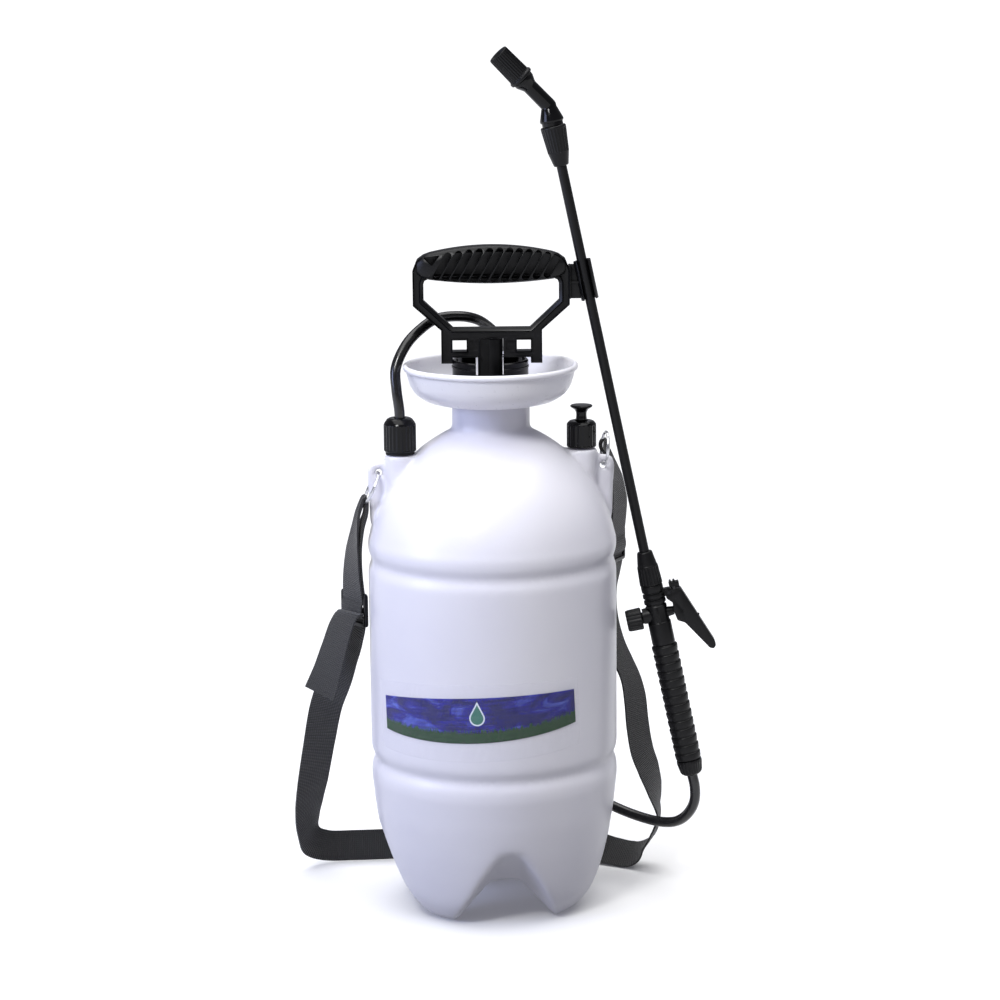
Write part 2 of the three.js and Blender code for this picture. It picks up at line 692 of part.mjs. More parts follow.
const leverTop = pivotAlong + 2.4;
const leverBack = pivotOut + 10;
function makeTrigger() {
  const tip = [pivotOut + trigger.leverReach + 3, pivotAlong - trigger.leverDrop - 10];
  const outline = [
    [pivotOut - 2.6, leverTop], [leverBack, leverTop - 1.8], tip, [
      tip[0] - 1.4, tip[1] - 4.2,
    ], [tip[0] - 5.4, tip[1] - 3],
    [
      leverBack - 2.5, valveAlong - 10,
    ], [pivotOut + 2.2, valveAlong - 7], [pivotOut + 1, valveAlong], [pivotOut + 1.6, valveAlong + 7],
    [pivotOut - 2.6, pivotAlong - 4],
  ];
  const inner = [
    [0, leverTop + 3], [pivotOut + lugRadius + 0.8, leverTop + 3], [
      pivotOut + lugRadius + 0.8, leverTop - 4.4,
    ],
    [
      leverBack - trigger.wall, leverTop - 4.6,
    ], [tip[0] - 3.4, tip[1]], [tip[0] - 4.4, tip[1] - 9], [0, tip[1] - 9],
  ];
  const lever = upright(outline, trigger.width);
  const channel = upright(inner, trigger.width - 2 * trigger.wall);
  return lever.subtract(channel).subtract(pinRod(trigger.pinRadius + gap, 10, pivotOut, pivotAlong));
}
addPiece(wandGroup, 'trigger', makeTrigger(), blackPlastic);
addPiece(
  wandGroup, 'trigger_pin', pinRod(trigger.pinRadius, trigger.width / 2, pivotOut, pivotAlong),
  springSteel,
);
const lockFoot = leverTop - 1.2 + gap;
const lockOut = pivotOut + 5.6;
function makeTriggerLock() {
  const foot = box(lockOut, lockOut + 3.6, -3.4, 3.4, lockFoot + 0.45, lockFoot + 2.4);
  return joined(foot, box(lockOut - 4.2, lockOut + 3.6, -3.4, 3.4, lockFoot + 1.8, lockFoot + 7));
}
addPiece(wandGroup, 'trigger_lock', makeTriggerLock(), blackPlastic);

const springFrom = knobIn + 5 + gap;
function makeValvePin() {
  const reach = leverBack - trigger.wall + 4;
  return crossRod(1.5, springFrom + 7, reach, valveAlong, 12).add(crossRod(3, 3.2, 4.6, valveAlong, 12));
}
addPiece(wandGroup, 'valve_pin', makeValvePin(), springSteel);
const valveSpring = coil(
  2.4, 0.35, springFrom + 0.6, 2.4, 4,
).rotate([0, 90, 0]).translate([0, 0, valveAlong]);
addPiece(wandGroup, 'valve_spring', valveSpring, springSteel);

// ---- elbow and nozzle: the elbow turns on the lance, the nozzle on the elbow ----
const elbowLow = wand.lanceUp;
const elbowTop = elbowLow + elbow.nutLength;
const elbowBore = 6.2; // inside of the nut, round the elbow's tail
const elbowSeat = 12.5; // nut's foot to the floor of that bore
function makeElbowNut() {
  const outside = turned([
    [0, elbowLow], [5.4, elbowLow], [7.6, elbowLow + 9.6], [
      elbow.nutRadius, elbowTop - 3,
    ], [elbow.nutRadius - 1, elbowTop], [0, elbowTop],
  ]);
  const lanceBore = rod(lanceHole, elbowLow - 1, elbowTop, 16);
  return outside.subtract(lanceBore).subtract(rod(elbowBore, elbowLow + elbowSeat, elbowTop + 1));
}
addPiece(wandGroup, 'elbow_nut', makeElbowNut(), blackPlastic);
const elbowSeal = tube(5.9, 4.7 + gap, elbowLow + elbowSeat + 1.5, elbowLow + elbowSeat + 4.1, 16);
addPiece(wandGroup, 'elbow_seal', elbowSeal, rubber);

elbowGroup.position.z = elbowTop + elbow.stub;
elbowGroup.rotation.z = rad(elbow.turn);
nozzleGroup.rotation.y = rad(-elbow.bend);
const intoArm = (solid) => solid.rotate([0, -elbow.bend, 0]);
function makeElbow() {
  const foot = -elbow.stub + gap;
  const stub = turned([
    [0, foot - elbow.nutLength + elbowSeat + 4.6], [
      5.8, foot - elbow.nutLength + elbowSeat + 4.6,
    ], [5.8, foot - 12.2], [4.7, foot - 11.6], [4.7, foot],
    [8.3, foot], [8.3, foot + 2.2], [elbow.tubeRadius + 0.4, foot + 8.6], [elbow.tubeRadius, 0], [0, 0],
  ], 20);
  const arm = turned([
    [0, 0], [elbow.tubeRadius, 0], [
      elbow.tubeRadius - 0.3, elbow.arm - 6,
    ], [nozzle.radius, elbow.arm - 2], [nozzle.radius, elbow.arm - gap],
    [4.7, elbow.arm - gap], [4.7, elbow.arm + 9], [0, elbow.arm + 9],
  ], 20);
  const knee = solidOf(new THREE.SphereGeometry(elbow.tubeRadius, 20, 10));
  const bores = rod(elbow.bore, -60, 0, 10).add(intoArm(rod(elbow.bore, -1, 60, 10)));
  return joined(stub, intoArm(arm), knee).subtract(bores);
}
addPiece(elbowGroup, 'elbow', makeElbow(), blackPlastic);

function makeNozzleCap() {
  const [low, high] = [elbow.arm, elbow.arm + nozzle.length];
  const grip = plate(fluted(nozzle.radius, 14, 0.7), low + 1.6, high);
  const flange = rod(nozzle.radius + 0.9, low, low + 2);
  const chamber = rod(4.7 + gap, low - 1, high - 6, 20);
  const mouth = turned(
    [[0, high - 3], [nozzle.mouth, high - 3], [nozzle.mouth + 1.2, high + 0.1], [0, high + 0.1]],
    20,
  );
  return grip.add(flange).subtract(chamber).subtract(mouth).subtract(rod(0.8, low, high, 8));
}
addPiece(nozzleGroup, 'nozzle_cap', makeNozzleCap(), blackPlastic);
const coreLow = elbow.arm + 9 + gap;
addPiece(
  nozzleGroup, 'nozzle_core', tube(4.6, 0.8, coreLow, elbow.arm + nozzle.length - 6 - gap, 16),
  blackPlastic,
);

// ---- clip on the handle: an open channel that the lance presses into from the front ----
function makeClip() {
  const half = clip.length / 2;
  const sleeve = tube(clip.radius, lanceHole + 0.1, -half, half, 20);
  const mouth = box(-lanceHole - 0.1, lanceHole + 0.1, -10, 0, -half - 1, half + 1);
  const leaned = (solid) => solid.rotate([0, -lean, 0]).translate([clip.x, 0, clip.z]);
  const low = handle.top - 41;
  const web = box(
    handle.halfWidth + gap, clip.x - 2, -clip.plateDepth / 2 + 1.4, clip.plateDepth / 2 + 1.4, low,
    low + 25.5,
  );
  const foot = box(handle.halfWidth + gap, handle.halfWidth + 2, -5, 5, low, low + 25.5);
  const room = leaned(rod(lanceHole + 0.1, -half - 9, half + 9, 20));
  return joined(web, foot, leaned(sleeve)).subtract(leaned(mouth)).subtract(room);
}
addPiece(sprayer, 'lance_clip', makeClip(), blackPlastic);

// ---- hose: one length, in two pieces that meet behind the tank ----
const turnedIn = (x, z) => [x * Math.cos(rad(tankTurn)), x * Math.sin(rad(tankTurn)), z];
const onWand = (along) => [clip.x - along * Math.sin(rad(lean)), 0, clip.z + along * Math.cos(rad(lean))];
const hoseUp = [
  turnedIn(-boss.reach, nutFoot + 8 + gap),
  turnedIn(-boss.reach, nutTop + 4),
  [-70.3, -8.4, 399],
  [-70.8, -4.6, 415],
  [-63, 4, 431.5],
  [-53, 12, 441.5],
  [-40.5, 20, 448.8],
  [-22.5, 28, 449.6],
  [-10, 35, 446.2],
  [-1.5, 44, 439.5],
  [5, 55, 431.5],
  [9, 68, 423.5],
  [12.5, 81, 411],
  [16, 93, 390],
  [21, 102, 362],
  [27.5, 108, 325],
  [33, 111, 285],
  [36, 112, 245],
  [36, 112, 220 + gap],
];
const hoseDown = [
  onWand(barbLow - gap),
  onWand(barbLow - 25),
  onWand(capLow + 20),
  onWand(capLow),
  onWand(capLow - 12),
  [154, 3.5, 74],
  [149.5, 9.5, 62.5],
  [141.5, 19, 53.5],
  [130, 32, 49],
  [115, 47, 48.5],
  [97, 64, 51],
  [79, 80, 56.5],
  [62, 94, 66],
  [49, 104, 82],
  [40, 110, 106],
  [37, 112, 138],
  [36, 112, 178],
  [36, 112, 220 - gap],
];
addPiece(sprayer, 'hose_tank_side', swept(hoseUp, hoseRadius, 30), hoseVinyl);
addPiece(sprayer, 'hose_wand_side', swept(hoseDown, hoseRadius, 30), hoseVinyl);

// ---- shoulder strap ----
// Steel ring through an ear, its plane tipped about the tank's own Y.
function makeRing(side, tip) {
  const torus = solidOf(new THREE.TorusGeometry(ring.radius, ring.wire, 6, 24));
  const out = new THREE.Vector3(ring.radius * Math.sin(rad(tip)), 0, ring.radius * Math.cos(rad(tip)));
  return torus.rotate([0, 90 + tip, 0]).translate([
    side * boss.holeReach + out.x, 0, boss.top - boss.holeDrop + out.z,
  ]);
}
addPiece(tankGroup, 'left_ring', makeRing(-1, -154), springSteel);
addPiece(tankGroup, 'right_ring', makeRing(1, 6), springSteel);

const mainStrap = [
  { at: [-106.6, -2.2, 212.6], across: [0.62, -0.78, 0] },
  { at: [-114, 5, 192], across: [0.8, -0.6, 0] },
  { at: [-122, 13, 170], across: [0.95, -0.25, 0] },
  { at: [-129.5, 22, 149], across: [1, 0, 0.1] },
  { at: [-136.5, 35, 115], across: [1, 0.2, 0.15] },
  { at: [-143, 50, 80], across: [0.93, 0.25, 0.25] },
  { at: [-147, 62, 58], across: [0.8, 0.3, 0.45] },
  { at: [-149, 73, 38], across: [0.55, 0.25, 0.8] },
  { at: [-147, 83, 21], across: [0.15, 0.1, 1] },
  { at: [-136, 90, 14.5], across: [0, 0, 1] },
  { at: [-112, 93, 13.4], across: [0, 0, 1] },
  { at: [-80, 96, 13.4], across: [0, 0, 1] },
  { at: [-40, 103, 13.4], across: [0, 0, 1] },
  { at: [0, 106, 13.4], across: [0, 0, 1] },
  { at: [42, 103, 13.4], across: [0, 0.1, 1] },
  { at: [70, 94, 12.4], across: [0, 0.4, 0.9] },
  { at: [92, 84, 9.5], across: [0.1, 0.75, 0.65] },
  { at: [110, 75, 9.5], across: [0.3, 0.75, 0.6] },
  { at: [121, 71, 19], across: [0.5, 0.75, 0.4] },
  { at: [127, 63, 35], across: [0.3, 0.9, 0.2] },
  { at: [129.5, 58, 51], across: [0.1, 0.98, 0.1] },
  { at: [126.5, 54, 69], across: [0.45, 0.88, 0] },
  { at: [121.5, 51, 86], across: [0.64, 0.77, 0] },
  { at: [115.8, 49, 103], across: [0.7, 0.71, 0] },
  { at: [112.4, 49, 124], across: [0.7, 0.71, 0] },
  { at: [110.4, 50, 145], across: [0.68, 0.73, 0] },
  { at: [107.2, 52, 160], across: [0.6, 0.8, 0] },
  { at: [102.2, 55, 172], across: [0.57, 0.82, 0] },
  { at: [95.5, 59, 187], across: [0.57, 0.82, 0] },
  { at: [90.5, 61.5, 207], across: [0.57, 0.82, 0] },
  { at: [89.8, 61.5, 228], across: [0.57, 0.82, 0] },
  { at: [92.5, 57, 242], across: [0.5, 0.87, 0] },
  { at: [94.6, 53.6, 249.5], across: [0.45, 0.89, 0] },
];
addPiece(sprayer, 'strap_main', band(mainStrap, 88), strapWeb);
const tailStrap = [
  { at: [-112.5, -12.5, 222], across: [0.7, -0.7, 0] },
  { at: [-120.5, -14, 203], across: [0.75, -0.65, 0] },
  { at: [-126.5, -13, 184], across: [0.8, -0.55, -0.1] },
  { at: [-133, -12, 167], across: [0.9, -0.4, -0.2] },
];
addPiece(sprayer, 'strap_tail', band(tailStrap, 10), strapWeb);

// Doubled webbing hanging from a ring: one strip down, round the wire and back.
function loopStrap(wire, foot, acrossTop, acrossFoot, spread) {
  const round = ring.wire + gap + webbing.thick / 2 + 0.45;
  const side = (sign, t) => {
    const across = new THREE.Vector3(...acrossTop).lerp(new THREE.Vector3(...acrossFoot), t).normalize();
    const along = new THREE.Vector3(...foot).sub(new THREE.Vector3(...wire)).normalize();
    const through = new THREE.Vector3().crossVectors(across, along).normalize();
    const offset = THREE.MathUtils.lerp(round, spread, Math.min(1, t * 2.5));
    const at = new THREE.Vector3(...wire).lerp(
      new THREE.Vector3(...foot), t,
    ).addScaledVector(through, sign * offset);
    const wide = THREE.MathUtils.lerp(webbing.gathered, webbing.width, Math.min(1, t * 2));
    return { at: at.toArray(), across: across.toArray(), wide };
  };
  const along = new THREE.Vector3(...foot).sub(new THREE.Vector3(...wire)).normalize();
  const over = {
    at: new THREE.Vector3(...wire).addScaledVector(along, -round - 4).toArray(), across: acrossTop,
    wide: webbing.gathered,
  };
  const down = [1, 0.75, 0.5, 0.25, 0.08, 0];
  return [...down.map((t) => side(1, t)), over, ...down.reverse().map((t) => side(-1, t))];
}
const ringLow = (side, tip) => turnedIn(
  side * boss.holeReach + 2 * ring.radius * Math.sin(rad(tip)),
  boss.top - boss.holeDrop + 2 * ring.radius * Math.cos(rad(tip)),
);
const leftLoop = loopStrap(
  ringLow(-1, -154), [-104.6, -4.4, 248.5], [0.14, -0.99, 0], [0.62, -0.78, 0], 1.1,
);
addPiece(sprayer, 'strap_left_loop', band(leftLoop, 36), strapWeb);
const rightLoop = [
  { at: [84.8, 30.2, 350], across: [0, 0.2, 1], wide: webbing.gathered },
  { at: [88, 35, 342.5], across: [-0.1, 0.5, 0.85], wide: webbing.gathered },
  { at: [91.5, 39, 333], across: [0.1, 0.85, 0.5], wide: 17 },
  { at: [95.5, 43, 319], across: [0.35, 0.93, 0.1] },
  { at: [97.6, 45.5, 303], across: [0.45, 0.89, 0] },
  { at: [97.5, 49.5, 294], across: [0.45, 0.89, 0] },
  { at: [97, 51, 283.4], across: [0.45, 0.89, 0] },
];
addPiece(sprayer, 'strap_right_loop', band(rightLoop, 20, webbing.width, 2 * webbing.thick), strapWeb);

// Sliding buckle: a frame with two slots, standing across the webbing.
function makeBuckle(at, turn) {
  const [w, h] = [webbing.width + 6, 26];
  const slot = (z) => [
    [-w / 2 + 2.6, z - 4], [w / 2 - 2.6, z - 4], [w / 2 - 2.6, z + 4], [-w / 2 + 2.6, z + 4],
  ];
  const outline = [
    [-w / 2, -h / 2 + 2], [-w / 2 + 2, -h / 2], [w / 2 - 2, -h / 2], [w / 2, -h / 2 + 2],
    [w / 2, h / 2 - 2], [w / 2 - 2, h / 2], [-w / 2 + 2, h / 2], [-w / 2, h / 2 - 2],
  ];
  return upright(outline, 3.4, [slot(-6), slot(6)]).rotate([0, 0, turn]).translate(at);
}
addPiece(sprayer, 'left_buckle', makeBuckle([-105, -3.6, 231.5], -51.5), blackPlastic);
addPiece(sprayer, 'right_buckle', makeBuckle([95.5, 53, 266], 63), blackPlastic);

export default sprayer;
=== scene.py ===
import json
import math

import bmesh
import bpy
from mathutils import Matrix, Vector


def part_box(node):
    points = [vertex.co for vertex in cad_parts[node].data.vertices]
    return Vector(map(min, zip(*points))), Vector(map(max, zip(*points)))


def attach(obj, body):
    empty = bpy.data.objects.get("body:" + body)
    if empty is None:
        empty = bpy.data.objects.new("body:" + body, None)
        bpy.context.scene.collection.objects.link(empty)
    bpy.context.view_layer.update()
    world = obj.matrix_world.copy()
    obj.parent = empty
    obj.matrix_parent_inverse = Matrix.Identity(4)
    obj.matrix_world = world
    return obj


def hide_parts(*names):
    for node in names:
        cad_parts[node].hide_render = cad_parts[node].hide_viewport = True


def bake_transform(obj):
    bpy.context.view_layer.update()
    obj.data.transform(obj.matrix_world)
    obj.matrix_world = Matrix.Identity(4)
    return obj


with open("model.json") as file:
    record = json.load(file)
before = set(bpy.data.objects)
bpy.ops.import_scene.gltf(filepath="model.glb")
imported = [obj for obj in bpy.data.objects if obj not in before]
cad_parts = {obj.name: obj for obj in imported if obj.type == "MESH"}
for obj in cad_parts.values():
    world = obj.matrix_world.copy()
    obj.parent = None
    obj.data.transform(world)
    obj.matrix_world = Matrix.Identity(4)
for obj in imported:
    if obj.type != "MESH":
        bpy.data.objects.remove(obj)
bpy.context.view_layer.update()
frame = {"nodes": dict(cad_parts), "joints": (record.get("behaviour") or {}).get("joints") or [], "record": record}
mm = 0.001  # shapes are drawn in millimetres and placed in metres


def rotated(degrees, axis):
    return Matrix.Rotation(math.radians(degrees), 4, axis)


# ---- where things are, read from the frame ----
def middle(node):
    low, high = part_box(node)
    return (Vector(low) + Vector(high)) / 2


joints = {joint["name"]: joint for joint in frame["joints"]}
barrelMiddle = middle("pump_barrel")
tankAxis = Vector((barrelMiddle.x, barrelMiddle.y, 0))
bossAway = tankAxis - middle("hose_nut")
tankTurn = math.atan2(bossAway.y, bossAway.x)
lanceLine = Vector(joints["elbow_swivel"]["axis"])
lean = math.atan2(-lanceLine.x, lanceLine.z)
elbowUp = 118.4  # clip to the top of the elbow nut, along the lance
clipPoint = Vector(joints["elbow_swivel"]["pos_m"]) - lanceLine * elbowUp * mm
nozzleLine = Vector(joints["nozzle_turn"]["axis"])

uprightPlace = Matrix.Translation(tankAxis)
tankPlace = uprightPlace @ Matrix.Rotation(tankTurn, 4, "Z")
wandPlace = Matrix.Translation(clipPoint) @ Matrix.Rotation(-lean, 4, "Y")
nozzleLocal = wandPlace.to_3x3().inverted() @ nozzleLine
elbowTurn = math.atan2(-nozzleLocal.y, -nozzleLocal.x)
elbowBend = math.acos(max(-1, min(1, nozzleLocal.z)))
kneePoint = Matrix.Translation(Vector(joints["nozzle_turn"]["pos_m"]))
elbowPlace = kneePoint @ Matrix.Rotation(-lean, 4, "Y") @ Matrix.Rotation(elbowTurn, 4, "Z")
nozzlePlace = elbowPlace @ Matrix.Rotation(-elbowBend, 4, "Y")
print("frame read: tank turned", round(math.degrees(tankTurn), 2), "lean", round(math.degrees(lean), 2))

# ---- camera, fitted in millimetres and degrees ----
view = dict(distance=2250, height=753, pitch=11.06, pan=0.159, roll=0.567, lens=109.2)


def makeCamera():
    camera = bpy.data.objects.new("camera", bpy.data.cameras.new("camera"))
    camera.data.lens = view["lens"]
    camera.data.clip_end = 120
    place = Matrix.Translation(tankAxis + Vector((0, -view["distance"], view["height"])) * mm)
    place @= rotated(-view["pan"], "Z")
    place @= rotated(90 - view["pitch"], "X")
    place @= rotated(-view["roll"], "Z")
    camera.matrix_world = place
    bpy.context.scene.collection.objects.link(camera)
    bpy.context.scene.camera = camera


makeCamera()


# ---- small tools for nodes and colours ----
def hexColour(code):
    channels = [int(code[i : i + 2], 16) / 255 for i in (1, 3, 5)]
    linear = [c / 12.92 if c <= 0.04045 else ((c + 0.055) / 1.055) ** 2.4 for c in channels]
    return (*linear, 1.0)


def addNode(tree, kind, inputs=None, **settings):
    node = tree.nodes.new(kind)
    for name, value in settings.items():
        setattr(node, name, value)
    for name, value in (inputs or {}).items():
        if isinstance(value, bpy.types.NodeSocket):
            tree.links.new(value, node.inputs[name])
        else:
            node.inputs[name].default_value = value
    return node


def newMaterial(name, colour, roughness, **sockets):
    material = bpy.data.materials.new(name)
    material.use_nodes = True
    shader = material.node_tree.nodes["Principled BSDF"]
    shader.inputs["Base Color"].default_value = hexColour(colour)
    shader.inputs["Roughness"].default_value = roughness
    for socket, value in sockets.items():
        shader.inputs[socket].default_value = value
    return material, material.node_tree, shader


def objectPoints(tree):
    return addNode(tree, "ShaderNodeTexCoord").outputs["Object"]


def noise(tree, points, scale, detail=3.0, roughness=0.5):
    inputs = {"Vector": points, "Scale": scale, "Detail": detail, "Roughness": roughness}
    return addNode(tree, "ShaderNodeTexNoise", inputs).outputs[0]


def between(tree, value, low, high):
    node = addNode(tree, "ShaderNodeMapRange", {"Value": value, "From Min": 0.3, "From Max": 0.7})
    node.inputs["To Min"].default_value = low
    node.inputs["To Max"].default_value = high
    return node.outputs[0]


def maths(tree, operation, *values):
    return addNode(tree, "ShaderNodeMath", dict(enumerate(values)), operation=operation).outputs[0]


def mixed(tree, share, first, second):
    return addNode(tree, "ShaderNodeMix", {0: share, 6: first, 7: second}, data_type="RGBA").outputs[2]


def bumpFrom(tree, height, distance, strength=1.0, under=None):
    inputs = {"Height": height, "Distance": distance, "Strength": strength}
    if under is not None:
        inputs["Normal"] = under
    return addNode(tree, "ShaderNodeBump", inputs).outputs[0]


# ---- materials ----
def blownPolyethylene(name, colour, shade, scatter, roughness):
    # Natural HDPE, blow moulded: milky, lets a little light in, waxy satin skin with a faint orange peel.
    material, tree, shader = newMaterial(name, colour, roughness)
    shader.inputs["Subsurface Weight"].default_value = 0.35
    shader.inputs["Subsurface Radius"].default_value = (1.0, 0.95, 1.0)
    shader.inputs["Subsurface Scale"].default_value = scatter * mm
    shader.inputs["IOR"].default_value = 1.54
    points = objectPoints(tree)
    cloud = noise(tree, points, 9.0, 4.0)  # wall thickness drifts over about 100 mm
    drift = mixed(tree, between(tree, cloud, 0.0, 1.0), hexColour(colour), hexColour(shade))
    tree.links.new(drift, shader.inputs["Base Color"])
    fine = noise(tree, points, 420.0, 2.0)  # 2.4 mm orange peel
    tree.links.new(between(tree, fine, roughness - 0.03, roughness + 0.05), shader.inputs["Roughness"])
    tree.links.new(bumpFrom(tree, fine, 0.05 * mm, 0.5), shader.inputs["Normal"])
    return material


def mouldedBlack(name, colour, roughness, grain, depth):
    # Black polypropylene, injection moulded: satin from a spark-eroded tool, with faint dust and rubs.
    material, tree, shader = newMaterial(name, colour, roughness, IOR=1.49)
    shader.inputs["Specular IOR Level"].default_value = 0.22
    points = objectPoints(tree)
    rub = noise(tree, points, 60.0, 6.0, 0.65)
    rubbed = mixed(tree, between(tree, rub, 0.0, 0.35), hexColour(colour), hexColour("#141416"))
    tree.links.new(rubbed, shader.inputs["Base Color"])
    tree.links.new(between(tree, rub, roughness - 0.05, roughness + 0.07), shader.inputs["Roughness"])
    texture = noise(tree, points, 1.0 / (grain * mm), 2.0)
    tree.links.new(bumpFrom(tree, texture, depth * mm, 0.6), shader.inputs["Normal"])
    return material


def wovenWebbing(name, colour, rib):
    # Polypropylene webbing, woven flat: cross ribs of weft under warp threads, dull with a soft sheen.
    material, tree, shader = newMaterial(name, colour, 0.62)
    shader.inputs["Sheen Weight"].default_value = 0.25
    shader.inputs["Sheen Roughness"].default_value = 0.5
    uv = addNode(tree, "ShaderNodeUVMap", uv_map="weave").outputs[0]
    split = addNode(tree, "ShaderNodeSeparateXYZ", {0: uv})
    turn = 2 * math.pi / rib
    ribWave = maths(tree, "SINE", maths(tree, "MULTIPLY", split.outputs[1], turn))
    warpWave = maths(tree, "SINE", maths(tree, "MULTIPLY", split.outputs[0], turn * 0.9))
    height = maths(tree, "MULTIPLY_ADD", maths(tree, "MULTIPLY", ribWave, warpWave), 0.5, ribWave)
    fray = noise(tree, objectPoints(tree), 900.0, 3.0)
    rough = maths(tree, "MULTIPLY_ADD", fray, 0.8, height)
    # painted shade: the colour follows the weave height, darker in the hollows between threads and lighter on the
    # raised threads, with a random fray tone mixed in
    share = addNode(tree, "ShaderNodeMapRange", {0: rough, 1: -1.0, 2: 1.6}).outputs[0]
    tree.links.new(mixed(tree, share, hexColour(colour), hexColour("#0d0d10")), shader.inputs["Base Color"])
    tree.links.new(bumpFrom(tree, rough, 0.22 * mm, 0.8), shader.inputs["Normal"])
    return material


def platedSteel(name, colour, roughness):
    # Zinc-plated wire: bright, with fine drawing marks and small dull patches.
    material, tree, shader = newMaterial(name, colour, roughness, Metallic=1.0)
    patch = noise(tree, objectPoints(tree), 500.0, 4.0)
    tree.links.new(between(tree, patch, roughness - 0.06, roughness + 0.14), shader.inputs["Roughness"])
    return material


def softVinyl(name, colour, roughness):
    # Plasticised PVC hose: extruded, so smooth and glossy with a faint waviness.
    material, tree, shader = newMaterial(name, colour, roughness, IOR=1.53)
    wave = noise(tree, objectPoints(tree), 160.0, 2.0)
    tree.links.new(between(tree, wave, roughness - 0.04, roughness + 0.08), shader.inputs["Roughness"])
    tree.links.new(bumpFrom(tree, wave, 0.1 * mm, 0.4), shader.inputs["Normal"])
    return material


def printedFilm(name, art):
    # Ink under a clear gloss film: evening sky with pale cloud streaks, and a strip of grass along the foot.
    material, tree, shader = newMaterial(name, "#3a41a0", 0.4, IOR=1.4)
    shader.inputs["Specular IOR Level"].default_value = 0.2
    uv = addNode(tree, "ShaderNodeUVMap", uv_map="print").outputs[0]
    split = addNode(tree, "ShaderNodeSeparateXYZ", {0: uv})
    up = split.outputs[1]  # millimetres above the band's foot
    stretched = addNode(tree, "ShaderNodeMapping", {"Vector": uv, "Scale": (0.045, 0.1, 1)}).outputs[0]
    drift = {"Vector": stretched, "Scale": 0.8, "Detail": 3.0, "Distortion": 0.8}
    cloud = addNode(tree, "ShaderNodeTexNoise", drift)
    sky = addNode(tree, "ShaderNodeValToRGB", {0: cloud.outputs[0]})
    ramp = sky.color_ramp
    ramp.elements[0].position, ramp.elements[0].color = 0.42, hexColour(art["skyDeep"])
    ramp.elements[1].position, ramp.elements[1].color = 0.72, hexColour(art["cloud"])
    ramp.elements.new(0.54).color = hexColour(art["sky"])
    # grass: tall thin noise decides how high each blade reaches
    blades = addNode(tree, "ShaderNodeMapping", {"Vector": uv, "Scale": (1.5, 0.16, 1)}).outputs[0]
    blade = addNode(tree, "ShaderNodeTexNoise", {"Vector": blades, "Scale": 1.0, "Detail": 3.0}).outputs[0]
    reach = maths(tree, "MULTIPLY_ADD", blade, art["bladeMm"], art["grassMm"])
    grass = maths(tree, "GREATER_THAN", reach, up)
    green = mixed(tree, blade, hexColour(art["grassDark"]), hexColour(art["grass"]))
    tree.links.new(mixed(tree, grass, sky.outputs[0], green), shader.inputs["Base Color"])
    return material


art = dict(
    skyDeep="#09067c", sky="#130fb0", cloud="#6f86fa", grassDark="#01160a", grass="#1f6a2a",
    bladeMm=13.0, grassMm=2.2,
)
paints = {
    "tank_plastic": blownPolyethylene("blown polyethylene, milky", "#e5e4eb", "#dedde6", 7.0, 0.34),
    "black_plastic": mouldedBlack("moulded polypropylene, satin black", "#060607", 0.36, 0.9, 0.05),
    "rubber": mouldedBlack("nitrile rubber, moulded", "#09090a", 0.6, 0.6, 0.04),
    "hose_vinyl": softVinyl("hose vinyl, gloss black", "#060607", 0.2),
    "webbing": wovenWebbing("webbing, black polypropylene", "#030304", 1.5),
    "steel": platedSteel("plated steel wire", "#c8c9cc", 0.2),
    "label_film": printedFilm("label print under film", art),
    "clear_tube": softVinyl("dip tube, clear vinyl", "#c9d2d6", 0.2),
}
glossBlack = mouldedBlack("moulded polypropylene, polished black", "#050506", 0.13, 1.6, 0.02)
bowlWhite = blownPolyethylene("moulded polyethylene, splash funnel", "#ecebf1", "#e6e5ec", 9.0, 0.3)
blackenedSteel = platedSteel("blackened steel pin", "#2a2a2c", 0.35)

for name, node in frame["nodes"].items():  # pieces inside keep their CAD shape
    slotName = next(s["material_slot"] for s in frame["record"]["subparts"] if s["node"] == name)
    node.data.materials.clear()
    node.data.materials.append(blackenedSteel if name == "trigger_pin" else paints[slotName])


# ---- modelling tools, all in millimetres ----
def shifted(x, y, z):
    return Matrix.Translation((x, y, z))


def linked(name, data):
    obj = bpy.data.objects.new(name, data)
    bpy.context.scene.collection.objects.link(obj)
    return obj


def standIn(name, bm):
    # a short-lived object, for the modifiers
    mesh = bpy.data.meshes.new(name)
    bm.to_mesh(mesh)
    bm.free()
    return linked(name, mesh)


def outcome(obj, *others):
    # the object's shape after its modifiers; it and its helpers are then thrown away
    done = obj.evaluated_get(bpy.context.evaluated_depsgraph_get())
    bm = bmesh.new()
    bm.from_mesh(done.to_mesh())
    for spare in (obj, *others):
        data = spare.data
        store = bpy.data.curves if spare.type == "CURVE" else bpy.data.meshes
        bpy.data.objects.remove(spare)
        store.remove(data)
    return bm


def outward(bm):
    bmesh.ops.recalc_face_normals(bm, faces=bm.faces)
    return bm


def newMesh(name, bm, place, smooth=32):
    bmesh.ops.transform(bm, matrix=place @ Matrix.Scale(mm, 4), verts=bm.verts)
    mesh = bpy.data.meshes.new(name)
    bm.to_mesh(mesh)
    bm.free()
    mesh.shade_smooth()
    mesh.set_sharp_from_angle(angle=math.radians(smooth))
    return linked(name, mesh)


def addPiece(name, bm, place, body, stands=(), slot="black_plastic", material=None, smooth=32):
    obj = newMesh(name, bm, place, smooth)
    obj.data.materials.append(material or paints[slot])
    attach(obj, body)
    if stands:
        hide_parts(*stands)
    return obj


